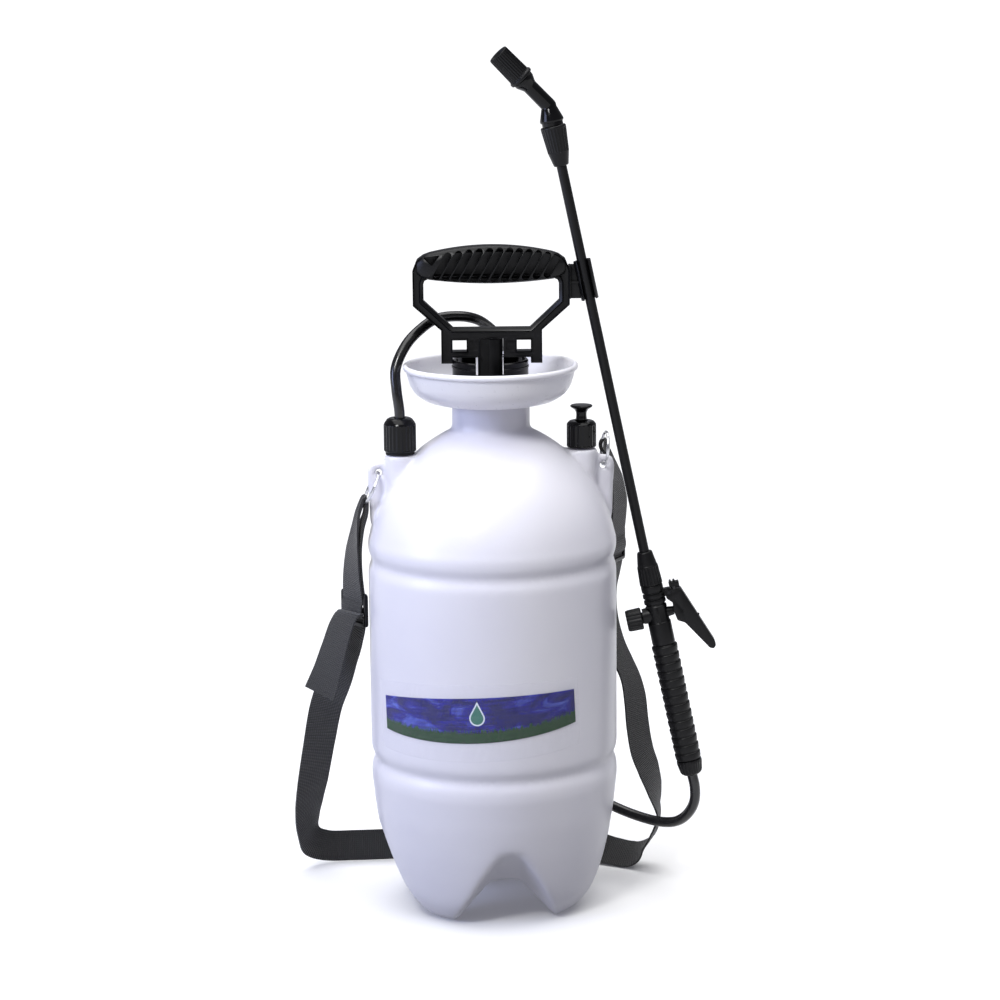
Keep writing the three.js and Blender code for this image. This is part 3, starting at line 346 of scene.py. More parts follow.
def soften(profile, radius, rounds=3):
    # rounds the inner corners of an open outline
    points = [Vector(p) for p in profile]
    out = [points[0]]
    for before, corner, after in zip(points, points[1:], points[2:]):
        a, b = before - corner, after - corner
        reach = min(radius, a.length * 0.45, b.length * 0.45)
        start, end = corner + a.normalized() * reach, corner + b.normalized() * reach
        for i in range(rounds + 1):
            t = i / rounds
            out.append(start * (1 - t) ** 2 + corner * 2 * t * (1 - t) + end * t**2)
    return [tuple(p) for p in out + [points[-1]]]


def softenLoop(outline, radius, rounds=3):
    start = ((outline[0][0] + outline[-1][0]) / 2, (outline[0][1] + outline[-1][1]) / 2)
    return soften([start] + outline + [start], radius, rounds)[:-1]


def lathe(profile, steps=72, closed=False):
    bm = bmesh.new()
    points = [bm.verts.new((r, 0, z)) for r, z in profile]
    pairs = list(zip(points, points[1:])) + ([(points[-1], points[0])] if closed else [])
    edges = [bm.edges.new(pair) for pair in pairs]
    bmesh.ops.spin(
        bm, geom=points + edges, axis=(0, 0, 1), cent=(0, 0, 0), angle=2 * math.pi, steps=steps,
        use_merge=True,
    )
    bmesh.ops.remove_doubles(bm, verts=bm.verts, dist=1e-3)
    return outward(bm)


def flute(bm, count, depth, low, high, shape=0.7, least=0.0):
    # sinks grooves between rounded ridges, all round
    for vert in bm.verts:
        radius = math.hypot(vert.co.x, vert.co.y)
        if low < vert.co.z < high and radius > least:
            wave = (0.5 - 0.5 * math.cos(count * math.atan2(vert.co.y, vert.co.x))) ** shape
            scale = 1 - depth * wave / radius
            vert.co.x *= scale
            vert.co.y *= scale
    return bm


def slab(outline, depth, centre=0.0):
    # flat outline in X and Z, made solid along Y
    bm = bmesh.new()
    face = bm.faces.new([bm.verts.new((x, centre - depth / 2, z)) for x, z in outline])
    grown = bmesh.ops.extrude_face_region(bm, geom=[face])["geom"]
    bmesh.ops.translate(bm, verts=[g for g in grown if isinstance(g, bmesh.types.BMVert)], vec=(0, depth, 0))
    return outward(bm)


def block(x0, x1, y0, y1, z0, z1):
    bm = bmesh.new()
    size = Matrix.Diagonal((x1 - x0, y1 - y0, z1 - z0, 1))
    place = shifted((x0 + x1) / 2, (y0 + y1) / 2, (z0 + z1) / 2)
    bmesh.ops.create_cube(bm, size=1, matrix=place @ size)
    return bm


def bar(radius, low, high, steps=32, top=None):
    bm = bmesh.new()
    place = shifted(0, 0, (low + high) / 2)
    wide = radius if top is None else top
    bmesh.ops.create_cone(
        bm, cap_ends=True, segments=steps, radius1=radius, radius2=wide, depth=high - low, matrix=place
    )
    return bm


def moved(bm, matrix):
    bmesh.ops.transform(bm, matrix=matrix, verts=bm.verts)
    return bm


def together(*parts):
    mesh = bpy.data.meshes.new("parts")
    whole = bmesh.new()
    for part in parts:
        part.to_mesh(mesh)
        part.free()
        whole.from_mesh(mesh)
    bpy.data.meshes.remove(mesh)
    return whole


def carve(bm, cutter, operation="DIFFERENCE"):
    body, tool = standIn("carve", bm), standIn("carve", cutter)
    modifier = body.modifiers.new("carve", "BOOLEAN")
    modifier.object, modifier.operation, modifier.solver = tool, operation, "EXACT"
    out = outcome(body, tool)
    bmesh.ops.remove_doubles(out, verts=out.verts, dist=1e-3)
    bmesh.ops.dissolve_degenerate(out, dist=1e-3, edges=out.edges)
    return out


def bevelEdges(bm, edges, width, segments, clamp=True):
    bmesh.ops.bevel(
        bm, geom=edges, offset=width, offset_type="OFFSET", segments=segments, profile=0.5,
        affect="EDGES", clamp_overlap=clamp, material=-1,
    )


def roundEdges(bm, width, segments=2, angle=35):
    sharp = [e for e in bm.edges if len(e.link_faces) == 2 and e.calc_face_angle(0) > math.radians(angle)]
    bevelEdges(bm, sharp, width, segments)
    return bm


def relax(bm, verts):
    bmesh.ops.smooth_vert(bm, verts=verts, factor=0.5, use_axis_x=True, use_axis_y=True, use_axis_z=True)


def remeshed(bm, voxel, rounds):
    # skin of even voxels over everything, then smoothed, as a blown or moulded wall runs round its corners
    obj = standIn("skin", bm)
    modifier = obj.modifiers.new("skin", "REMESH")
    modifier.mode, modifier.voxel_size = "VOXEL", voxel
    out = outcome(obj)
    for i in range(rounds):
        relax(out, out.verts[:])
    return out


def smoothPath(points, steps):
    # centripetal Catmull-Rom through the points, with the same number of steps between each two
    p = [Vector(q) for q in points]
    p = [p[0] * 2 - p[1]] + p + [p[-1] * 2 - p[-2]]
    out = []
    for k in range(1, len(p) - 2):
        a, b, c, d = p[k - 1 : k + 3]
        ab, bc, cd = [max((v - u).length, 1e-6) ** 0.5 for u, v in ((a, b), (b, c), (c, d))]
        startPull = ((b - a) / ab - (c - a) / (ab + bc) + (c - b) / bc) * bc
        endPull = ((c - b) / bc - (d - b) / (bc + cd) + (d - c) / cd) * bc
        for i in range(steps):
            t = i / steps
            out.append(
                b * (2 * t**3 - 3 * t**2 + 1) + startPull * (t**3 - 2 * t**2 + t)
                + c * (3 * t**2 - 2 * t**3) + endPull * (t**3 - t**2)
            )
    return out + [p[-2]]


def pipe(points, radius, rounds=5, closed=False):
    # round wire along points, made by a bevelled curve
    curve = bpy.data.curves.new("pipe", "CURVE")
    curve.dimensions = "3D"
    curve.bevel_depth = radius
    curve.bevel_resolution = rounds
    curve.use_fill_caps = True
    spline = curve.splines.new("POLY")
    spline.points.add(len(points) - 1)
    for point, at in zip(spline.points, points):
        point.co = (*at, 1)
    spline.use_cyclic_u = closed
    bm = outcome(linked("pipe", curve))
    bmesh.ops.remove_doubles(bm, verts=bm.verts, dist=1e-4)
    return outward(bm)


# ---- hose: out of the left boss, over behind the handle, down behind the tank and back up to the grip ----
hose = dict(radius=4.0, gap=0.3, boss=69.0, seam=220.0, steps=5)
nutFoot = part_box("hose_nut")[0][2] / mm
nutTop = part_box("hose_nut")[1][2] / mm


def onBoss(z):
    return (-hose["boss"] * math.cos(tankTurn), -hose["boss"] * math.sin(tankTurn), z)


def onWand(along):
    place = (wandPlace @ Vector((0, 0, along * mm)) - tankAxis) / mm
    return (place.x, 0, place.z)


hoseUp = [
    onBoss(nutFoot + 8 + hose["gap"]), onBoss(nutTop + 4), (-70.3, -8.4, 399), (-70.8, -4.6, 415),
    (-63, 4, 431.5), (-53, 12, 441.5), (-40.5, 20, 448.8), (-22.5, 28, 449.6), (-10, 35, 446.2),
    (-1.5, 44, 439.5), (5, 55, 431.5), (9, 68, 423.5), (12.5, 81, 411), (16, 93, 390), (21, 102, 362),
    (27.5, 108, 325), (33, 111, 285), (36, 112, 245), (36, 112, hose["seam"] + hose["gap"]),
]
hoseDown = [
    onWand(-312.8), onWand(-337.5), onWand(-370.1), onWand(-390.1), onWand(-402.1), (154, 3.5, 74),
    (149.5, 9.5, 62.5), (141.5, 19, 53.5), (130, 32, 49), (115, 47, 48.5), (97, 64, 51), (79, 80, 56.5),
    (62, 94, 66), (49, 104, 82), (40, 110, 106), (37, 112, 138), (36, 112, 178),
    (36, 112, hose["seam"] - hose["gap"]),
]


def makeHose(name, route):
    points = smoothPath(route, hose["steps"])
    piece = newMesh(name, pipe(points, hose["radius"], 6), uprightPlace, 60)
    piece.data.materials.append(paints["hose_vinyl"])
    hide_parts(name.replace("Visible", ""))
    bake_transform(piece)
    return piece


makeHose("hose_tank_sideVisible", hoseUp)
makeHose("hose_wand_sideVisible", hoseDown)

# ---- shoulder strap: flat webbing, modelled along its route ----
webbing = dict(width=25.0, thick=1.4, gathered=10.0, across=8, stepsEach=6)


def ribbon(stations, width=webbing["width"], thick=webbing["thick"], offset=0.0):
    # stations are (place, direction of the width), and the width where it isn't the strap's own
    centre = smoothPath([s[0] for s in stations], webbing["stepsEach"])
    widths = [s[2] if len(s) > 2 else width for s in stations]
    last, cells = len(centre) - 1, webbing["across"]
    bm = bmesh.new()
    uvLayer = bm.loops.layers.uv.new("weave")
    weave, rings, run = {}, [], 0.0
    for row, at in enumerate(centre):
        k = min(row // webbing["stepsEach"], len(stations) - 2)
        t = row / webbing["stepsEach"] - k
        along = (centre[min(row + 1, last)] - centre[max(row - 1, 0)]).normalized()
        across = Vector(stations[k][1]).normalized().lerp(Vector(stations[k + 1][1]).normalized(), t)
        across = (across - along * across.dot(along)).normalized()
        through = along.cross(across)
        wide = widths[k] * (1 - t) + widths[k + 1] * t
        run += (at - centre[max(row - 1, 0)]).length
        rings.append([])
        for face in (1, -1):
            for i in range(cells + 1):
                x = (i / cells - 0.5) * face
                curl = (wide < width - 1) * 0.16 * (width - wide) * (4 * x * x - 0.5)
                lift = offset + curl + face * thick / 2
                vert = bm.verts.new(at + across * x * wide + through * lift)
                weave[vert] = (x * width, run)
                rings[-1].append(vert)
    for a, b in zip(rings, rings[1:]):
        for i in range(len(a)):
            bm.faces.new((a[i - 1], a[i], b[i], b[i - 1]))
    bm.faces.new(rings[0])
    bm.faces.new(rings[-1])
    for face in bm.faces:
        for loop in face.loops:
            loop[uvLayer].uv = weave[loop.vert]
    bmesh.ops.recalc_face_normals(bm, faces=bm.faces)
    return bm, run


def addStrap(name, stations, stands, width=webbing["width"], layers=(0.0,)):
    parts = [ribbon(stations, width, webbing["thick"], offset) for offset in layers]
    whole = together(*[part[0] for part in parts])
    strap = addPiece(name, whole, uprightPlace, "tank", stands, "webbing", smooth=50)
    return strap


def throughBuckle(at, turn, upwards):
    # in by one slot, over the middle bar and out by the other
    out = Vector((math.sin(math.radians(turn)), -math.cos(math.radians(turn)), 0))
    across = (math.cos(math.radians(turn)), math.sin(math.radians(turn)), 0)
    steps = [(-12, -0.4), (-7.5, -0.4), (-3.4, 2.4), (3.4, 2.4), (8, -0.2)]
    run = [(tuple(Vector(at) + out * lift + Vector((0, 0, z))), across) for z, lift in steps]
    return run if upwards else run[::-1]


buckles = dict(left=((-105, -3.6, 231.5), -51.5), right=((95.5, 53, 266), 63))
mainStrap = throughBuckle(*buckles["left"], False) + [
    ((-106.2, -2.6, 212), (0.62, -0.78, 0)), ((-114, 5, 192), (0.8, -0.6, 0)),
    ((-122, 13, 170), (0.95, -0.25, 0)), ((-129.5, 22, 149), (1, 0, 0.1)),
    ((-136.5, 35, 115), (1, 0.2, 0.15)), ((-143, 50, 80), (0.93, 0.25, 0.25)),
    ((-147, 62, 58), (0.8, 0.3, 0.45)), ((-149, 73, 38), (0.55, 0.25, 0.8)),
    ((-147, 83, 21), (0.15, 0.1, 1)), ((-136, 90, 14.5), (0, 0, 1)), ((-112, 93, 13.4), (0, 0, 1)),
    ((-80, 96, 13.4), (0, 0, 1)), ((-40, 103, 13.4), (0, 0, 1)), ((0, 106, 13.4), (0, 0, 1)),
    ((42, 103, 13.4), (0, 0.1, 1)), ((70, 94, 12.4), (0, 0.4, 0.9)), ((92, 84, 9.5), (0.1, 0.75, 0.65)),
    ((110, 75, 9.5), (0.3, 0.75, 0.6)), ((121, 71, 19), (0.5, 0.75, 0.4)),
    ((127, 63, 35), (0.3, 0.9, 0.2)), ((129.5, 58, 51), (0.1, 0.98, 0.1)),
    ((126.5, 54, 69), (0.45, 0.88, 0)), ((121.5, 51, 86), (0.64, 0.77, 0)),
    ((115.8, 49, 103), (0.7, 0.71, 0)), ((112.4, 49, 124), (0.7, 0.71, 0)),
    ((110.4, 50, 145), (0.68, 0.73, 0)), ((107.2, 52, 160), (0.6, 0.8, 0)),
    ((102.2, 55, 172), (0.57, 0.82, 0)), ((95.5, 59, 187), (0.57, 0.82, 0)),
    ((90.5, 61.5, 207), (0.57, 0.82, 0)), ((89.8, 61.5, 228), (0.57, 0.82, 0)),
    ((93, 57, 243), (0.5, 0.87, 0)),
] + throughBuckle(*buckles["right"], True)
tailStrap = [
    ((-106.5, -6.5, 229), (0.62, -0.78, 0)), ((-110, -10.5, 228.5), (0.65, -0.75, 0)),
    ((-114.5, -13, 221), (0.7, -0.7, 0)), ((-120.5, -14, 203), (0.75, -0.65, 0)),
    ((-126.5, -13, 184), (0.8, -0.55, -0.1)), ((-133, -12, 167), (0.9, -0.4, -0.2)),
]
addStrap("strapMain", mainStrap, ["strap_main"])
addStrap("strapTail", tailStrap, ["strap_tail"])

ringSet = dict(radius=12.6, wire=0.8, holeReach=85.6, holeHeight=337.5, tips={-1: -154, 1: 6}, coils=2.15)


def alongRing(side, reach):
    # X and Z at a distance from the hole, across the ring
    tip = math.radians(ringSet["tips"][side])
    return side * ringSet["holeReach"] + reach * math.sin(tip), ringSet["holeHeight"] + reach * math.cos(tip)


def makeRing(name, side):
    # split ring: a little over two turns of wire, side by side
    count = 96
    points = []
    for i in range(count + 1):
        turn = 2 * math.pi * ringSet["coils"] * i / count
        shift = (i / count - 0.5) * 2 * ringSet["wire"] * 0.95
        points.append((ringSet["radius"] * math.cos(turn), ringSet["radius"] * math.sin(turn), shift))
    bm = pipe([Vector(p) for p in points], ringSet["wire"], 3)
    x, z = alongRing(side, ringSet["radius"])
    moved(bm, shifted(x, 0, z) @ rotated(90 + ringSet["tips"][side], "Y"))
    addPiece(name, bm, tankPlace, "tank", [name.replace("Ring", "_ring")], "steel")


makeRing("leftRing", -1)
makeRing("rightRing", 1)


def ringLow(side):
    out, z = alongRing(side, 2 * ringSet["radius"])
    return Vector((out * math.cos(tankTurn), out * math.sin(tankTurn), z))


def loopStations(wire, foot, acrossTop, acrossFoot, spread):
    wire, foot = Vector(wire), Vector(foot)
    around = 2.5
    bow = Vector((-4, 0, 0))  # hangs outwards a little
    along = (foot - wire).normalized()

    def side(sign, t):
        across = Vector(acrossTop).lerp(Vector(acrossFoot), t).normalized()
        through = across.cross(along).normalized()
        reach = around + (spread - around) * min(1, t * 2.5)
        wide = webbing["gathered"] + (webbing["width"] - webbing["gathered"]) * min(1, t * 2)
        at = wire.lerp(foot, t) + bow * math.sin(math.pi * t) + through * sign * reach
        return (at, across, wide)

    down = [1, 0.75, 0.5, 0.25, 0.08]
    top = Vector(acrossTop)
    over = (wire - along * (around + 1.5), top, webbing["gathered"])
    return [side(1, t) for t in down] + [over] + [side(-1, t) for t in reversed(down)]


leftLoop = loopStations(ringLow(-1), (-105, -3.8, 238), (0.14, -0.99, 0), (0.62, -0.78, 0), 1.1)
addStrap("strapLeftLoop", leftLoop, ["strap_left_loop"])
rightLoop = [
    ((84.3, 22.6, 350.3), (0, 0, 1), 10), ((84.8, 30.2, 350), (0, 0.2, 1), 10),
    ((88, 35, 342.5), (-0.1, 0.5, 0.85), 10), ((91.5, 39, 333), (0.1, 0.85, 0.5), 17),
    ((95.5, 43, 319), (0.35, 0.93, 0.1)), ((97.6, 45.5, 303), (0.45, 0.89, 0)),
    ((97.5, 49.5, 290), (0.45, 0.89, 0)), ((96.2, 52.2, 276), (0.45, 0.89, 0)),
    ((95.5, 53, 272), (0.45, 0.89, 0)),
]
addStrap("strapRightLoop", rightLoop, ["strap_right_loop"], layers=(-0.75, 0.75))


def makeBuckle(name, at, turn):
    w, h = webbing["width"] / 2 + 3, 13
    outline = [(-w, -h), (w, -h), (w, h), (-w, h)]
    body = slab(outline, 3.4)
    for z in (-6, 6):
        body = carve(body, block(-w + 2.6, w - 2.6, -5, 5, z - 4, z + 4))
    corners = []
    for edge in body.edges:
        start, end = edge.verts[0].co, edge.verts[1].co
        alongDepth = abs(start.z - end.z) < 0.1 and abs(start.x - end.x) < 0.1
        if alongDepth and abs(start.x) > w - 0.1 and abs(start.z) > h - 0.1:
            corners.append(edge)
    bevelEdges(body, corners, 2.6, 4, clamp=False)
    roundEdges(body, 0.6, 3)
    moved(body, Matrix.Translation(at) @ rotated(turn, "Z"))
    addPiece(name, body, uprightPlace, "tank", [name.replace("Buckle", "_buckle")], material=glossBlack)


makeBuckle("leftBuckle", *buckles["left"])
makeBuckle("rightBuckle", *buckles["right"])
print("hose, strap, rings and buckles made")

# ---- tank ----
tank = dict(
    radius=94.0, shoulder=284.0, dome=111.9, domeCentre=(-16.8, 266.3), neck=29.3, neckFoot=368.3,
    neckTop=398.0, grooves=((117.6, 2.9), (270.5, 2.6)), footRadius=56.0, channelTop=30.0,
    channelRise=72.0, bossReach=69.0, bossRadius=11.8, bossTop=351.0, voxel=1.7,
)


def tankProfile():
    r, foot = tank["radius"], tank["footRadius"]
    low = [(0, 28), (26, 26), (foot - 13, 7), (foot - 6, 0), (foot + 7, 0), (r - 23.5, 5), (r - 17.3, 14)]
    low += [(r - 13.8, 23), (r - 9.8, 38), (r - 6.2, 55), (r - 2.5, 78), (r - 0.5, 98)]
    wall = []
    for i in range(75):
        z = 102 + 2.5 * i
        dip = sum(depth * math.exp(-(((z - at) / 4.6) ** 2)) for at, depth in tank["grooves"])
        wall.append((r - dip, z))
    centreR, centreZ = tank["domeCentre"]
    startTurn = math.asin((tank["shoulder"] + 6 - centreZ) / tank["dome"])
    endTurn = math.asin((tank["neckFoot"] - 1 - centreZ) / tank["dome"])
    dome = []
    for i in range(25):
        turn = startTurn + (endTurn - startTurn) * i / 24
        dome.append((centreR + tank["dome"] * math.cos(turn), centreZ + tank["dome"] * math.sin(turn)))
    wall = [p for p in wall if p[1] < tank["shoulder"] + 3]
    neck = [(tank["neck"], tank["neckFoot"] + 1), (tank["neck"], tank["neckTop"]), (0, tank["neckTop"])]
    return low + wall + dome + neck


def channelCutter():
    # one wedge of the cross under the base: low in the middle, opening upwards at the wall
    def section(r, half, top, foot):
        return [(r, -foot, -5), (r, foot, -5), (r, -half, top), (r, half, top)]

    inner = section(0, 11, tank["channelTop"], 42)
    knee = section(tank["footRadius"] - 4, 11, tank["channelTop"], 42)
    mouth = section(tank["radius"] + 6, 5, tank["channelRise"], 46)
    hulls = []
    for points in (inner + knee, knee + mouth):
        bm = bmesh.new()
        bmesh.ops.convex_hull(bm, input=[bm.verts.new(p) for p in points])
        hulls.append(bm)
    return carve(hulls[0], hulls[1], "UNION")


def makeTank():
    body = lathe(tankProfile(), 144)
    for i in range(4):
        body = carve(body, moved(channelCutter(), rotated(90 * i, "Z")))
    adds = []
    for side in (-1, 1):
        boss = bar(tank["bossRadius"], 292, tank["bossTop"], 48)
        adds.append(moved(boss, shifted(side * tank["bossReach"], 0, 0)))
        ear = [(61, 288), (92.4, 299), (94, 339), (92.6, 343.5), (89, 345.5), (77, 345.5)]
        lug = slab([(side * x, z) for x, z in ear], 5.6)
        eye = shifted(side * ringSet["holeReach"], 0, ringSet["holeHeight"]) @ rotated(90, "X")
        adds.append(carve(lug, moved(bar(3.0, -10, 10, 24), eye)))
    skin = remeshed(together(body, *adds), tank["voxel"], 4)
    for i in range(14):  # the petals are blown softest
        relax(skin, [v for v in skin.verts if 1.0 < v.co.z < 92])
    for vert in skin.verts:
        vert.co.z = max(vert.co.z, 0.0)
    return skin


addPiece("tankBody", makeTank(), tankPlace, "tank", ["tank"], "tank_plastic", smooth=70)
print("tank made")

# ---- label: printed band under a clear film ----
label = dict(
    radius=94.3, band=dict(width=162, height=25.3, turn=-99.6, at=167, tilt=3.4, bows=(3.3, -5.6)),
    film=dict(width=173.8, height=51.5, turn=-100.6, at=164, tilt=2.4, bows=(3.0, -4.0)),
)


def wrapped(shape, radius, thick, layer):
    width, height = shape["width"], shape["height"]
    bm = bmesh.new()
    uvLayer = bm.loops.layers.uv.new(layer)
    bmesh.ops.create_grid(bm, x_segments=72, y_segments=10, size=0.5, calc_uvs=True)
    flat = {}
    for vert in bm.verts:
        belly = 1 - (2 * vert.co.x) ** 2
        low, high = -height / 2 + shape["bows"][1] * belly, height / 2 + shape["bows"][0] * belly
        flat[vert] = (vert.co.x * width, low + (high - low) * (vert.co.y + 0.5), low)
    for face in bm.faces:
        for loop in face.loops:
            x, y, low = flat[loop.vert]
            loop[uvLayer].uv = (x, y - low)
    tilt = math.radians(shape["tilt"])
    for vert, (x, y, low) in flat.items():
        along, up = x * math.cos(tilt) - y * math.sin(tilt), x * math.sin(tilt) + y * math.cos(tilt)
        turn = math.radians(shape["turn"]) + along / radius
        vert.co = (radius * math.cos(turn), radius * math.sin(turn), shape["at"] + up)
    bmesh.ops.solidify(bm, geom=bm.faces[:], thickness=-thick)
    return outward(bm)


def clearFilm():
    # Biaxial polypropylene film over the print: all gloss, hardly any colour.
    material, tree, shader = newMaterial("label film, clear", "#f5f5fb", 0.12, IOR=1.49, Alpha=0.05)
    wrinkle = noise(tree, objectPoints(tree), 45.0, 3.0)
    tree.links.new(bumpFrom(tree, wrinkle, 0.3 * mm, 0.4), shader.inputs["Normal"])
    return material


def makeDrop(size, lift):
    # plain water drop, laid on the band
    outline = [(0, 1.35)]
    for i in range(25):
        turn = math.radians(-122 + i * 244 / 24)
        outline.append((0.62 * math.sin(turn), -0.62 * math.cos(turn)))
    bm = bmesh.new()
    ring = []
    for x, y in outline:
        turn = math.radians(label["band"]["turn"] + 2) + x * size / label["radius"]
        reach = label["radius"] + lift
        height = label["band"]["at"] + 1 + y * size
        ring.append(bm.verts.new((reach * math.cos(turn), reach * math.sin(turn), height)))
    edges = [bm.edges.new((ring[i - 1], ring[i])) for i in range(len(ring))]
    bmesh.ops.triangle_fill(bm, edges=edges, use_beauty=True)
    return outward(bm)


labelPlace = dict(place=uprightPlace, body="tank", slot="label_film", smooth=60)
band = wrapped(label["band"], label["radius"], 0.06, "print")
addPiece("labelPrint", band, stands=["label"], **labelPlace)
for name, size, lift, ink in (("dropEdge", 9.4, 0.1, "#dfe8f4"), ("dropInk", 7.6, 0.14, "#116a5a")):
    inkMaterial = newMaterial("label ink " + ink[1:], ink, 0.3)[0]
    addPiece(name, makeDrop(size, lift), material=inkMaterial, **labelPlace)
film = wrapped(label["film"], label["radius"] + 0.2, 0.06, "print")
addPiece("labelFilm", film, material=clearFilm(), **labelPlace)

# ---- splash funnel ----
funnel = dict(low=387.7, top=417.7, radius=65.7, hub=29.6)


def makeFunnel():
    low, top, hub, rim = funnel["low"], funnel["top"], funnel["hub"], funnel["radius"]
    outer = [
        (hub, low), (hub + 11, low + 1.0), (49, low + 3), (56.5, low + 8), (60.3, low + 13.5),
        (62.6, low + 21), (63.4, top - 4.6),
    ]
    lip = [
        (rim - 0.7, top - 4.2), (rim, top - 3.0), (rim, top - 1.2), (rim - 1.0, top), (rim - 2.6, top),
        (rim - 3.7, top - 1.2),
    ]
    inner = [
        (61.2, low + 21), (58.6, low + 14.6), (54.8, low + 10), (48.6, low + 6.2), (hub + 9, low + 3.4),
        (hub + 2.4, low + 3),
    ]
    hubWall = [(hub + 2.4, low + 9), (hub, low + 9), (hub, low)]
    return lathe(soften(outer + lip + inner + hubWall, 3.0, 4), 128, closed=True)


addPiece("splashFunnel", makeFunnel(), uprightPlace, "tank", ["funnel"], "tank_plastic", bowlWhite, 40)

# ---- hose nut and safety valve on the bosses ----
hoseNut = dict(radius=12.2, flutes=24, depth=0.55)


def makeHoseNut():
    foot, top, r = nutFoot, nutTop, hoseNut["radius"]
    profile = [
        (0, foot), (r - 0.6, foot), (r, foot + 0.8), (r, top - 5), (r - 0.9, top - 3.4),
        (r - 2.6, top - 1.0), (r - 4.4, top), (4.4, top), (4.3, top - 6), (0, top - 6),
    ]
    wall = [(r, foot + 2 + i) for i in range(int(top - foot - 7))]
    full = profile[:3] + wall + profile[3:]
    nut = lathe(soften(full, 0.6, 2), 192)
    return flute(nut, hoseNut["flutes"], hoseNut["depth"], foot + 1.5, top - 5.2, 0.8, r - 1)


bossPlace = {side: tankPlace @ shifted(side * tank["bossReach"] * mm, 0, 0) for side in (-1, 1)}
addPiece("hoseNut", makeHoseNut(), bossPlace[-1], "tank", ["hose_nut"], material=glossBlack)

valve = dict(foot=352.0, top=372.0, radius=11.3, flutes=20, knob=8.5, knobTop=384.0)


def makeValveCap():
    foot, top, r = valve["foot"], valve["top"], valve["radius"]
    wall = [(r, foot + 1.6 + i) for i in range(15)]
    profile = [(0, foot), (r - 0.5, foot), (r, foot + 0.8)] + wall
    profile += [
        (r, top - 2.6), (r - 1.4, top - 0.8), (r - 2.6, top), (4.9, top), (4.9, top - 1), (0, top - 1),
    ]
    return flute(lathe(soften(profile, 0.6, 2), 160), valve["flutes"], 0.5, foot + 1.3, top - 3, 0.8, r - 1)


def makeReliefKnob():
    top, r = valve["knobTop"], valve["knob"]
    profile = [
        (0, 335), (2.6, 335), (2.6, 371), (4.4, 372.3), (3.9, 376), (4.1, 378.6), (5.4, 380.6),
        (r - 0.8, 382.0), (r, 382.8), (r, 383.3), (r - 0.7, top), (0, top),
    ]
    return lathe(soften(profile, 0.8, 3), 64)


addPiece("valveCap", makeValveCap(), bossPlace[1], "tank", ["valve_cap"], material=glossBlack)
addPiece("reliefKnob", makeReliefKnob(), bossPlace[1], "relief", ["relief_knob"], material=glossBlack)
print("funnel, nuts and valve made")

# ---- pump cap, plunger rod and D-handle ----
cap = dict(radius=28.5, foot=400.0, top=421.0, split=(-10.9, 9.9), guide=12.3)


def makePumpCap():
    foot, top, r = cap["foot"], cap["top"], cap["radius"]
    plug = [(9.6, 376), (20, 376), (26.2, 378), (26.2, foot), (r, foot), (r, foot + 3)]
    plug += [(cap["guide"], foot + 3), (cap["guide"], foot + 8), (9.6, foot + 8)]
    base = lathe(soften(plug, 0.6, 2), 96, closed=True)
    wall = [(r - 2.6, foot + 2.4), (r, foot + 2.4), (r, top - 0.8), (r - 0.8, top), (r - 2.2, top)]
    collar = lathe(wall + [(r - 2.6, top - 0.5)], 96, closed=True)
    collar = carve(collar, block(*cap["split"], -40, 40, foot + 5, top + 5))
    bead = [(r - 0.2, top - 6.4), (r + 0.5, top - 5.8), (r + 0.5, top - 4.6), (r - 0.2, top - 4)]
    rim = lathe(bead, 96, closed=True)
    rim = carve(rim, block(*cap["split"], -40, 40, foot + 5, top + 5))
    return together(base, collar, rim)


addPiece("pumpCap", makePumpCap(), uprightPlace, "tank", ["pump_cap"], material=glossBlack)


def makeRod():
    rodBody = lathe([(0, 206), (9.3, 206), (9.3, 436.3), (0, 436.3)], 64)
    slot = block(-7.9, -0.4, -20, -3.4, 200, 440)
    back = block(0.4, 7.9, 3.4, 20, 200, 440)
    return roundEdges(carve(carve(rodBody, slot), back), 0.35, 2)


addPiece("pumpRod", makeRod(), uprightPlace, "pump", ["pump_rod"])

handle = dict(
    half=58.5, top=507.0, foot=418.6, depth=13.0, gripUnder=478.0, gripDepth=22.5,
    slots=12, slotPitch=7.42, slotFirst=-36.3, slotWidth=5.5, slotLean=30.0, slotFloor=3.6, channel=1.1,
    channelDepth=2.6, holeBevel=2.3, shift=1.2,
)


def mirrored(half):
    return half + [(-x, z) for x, z in reversed(half) if x > 1e-6]


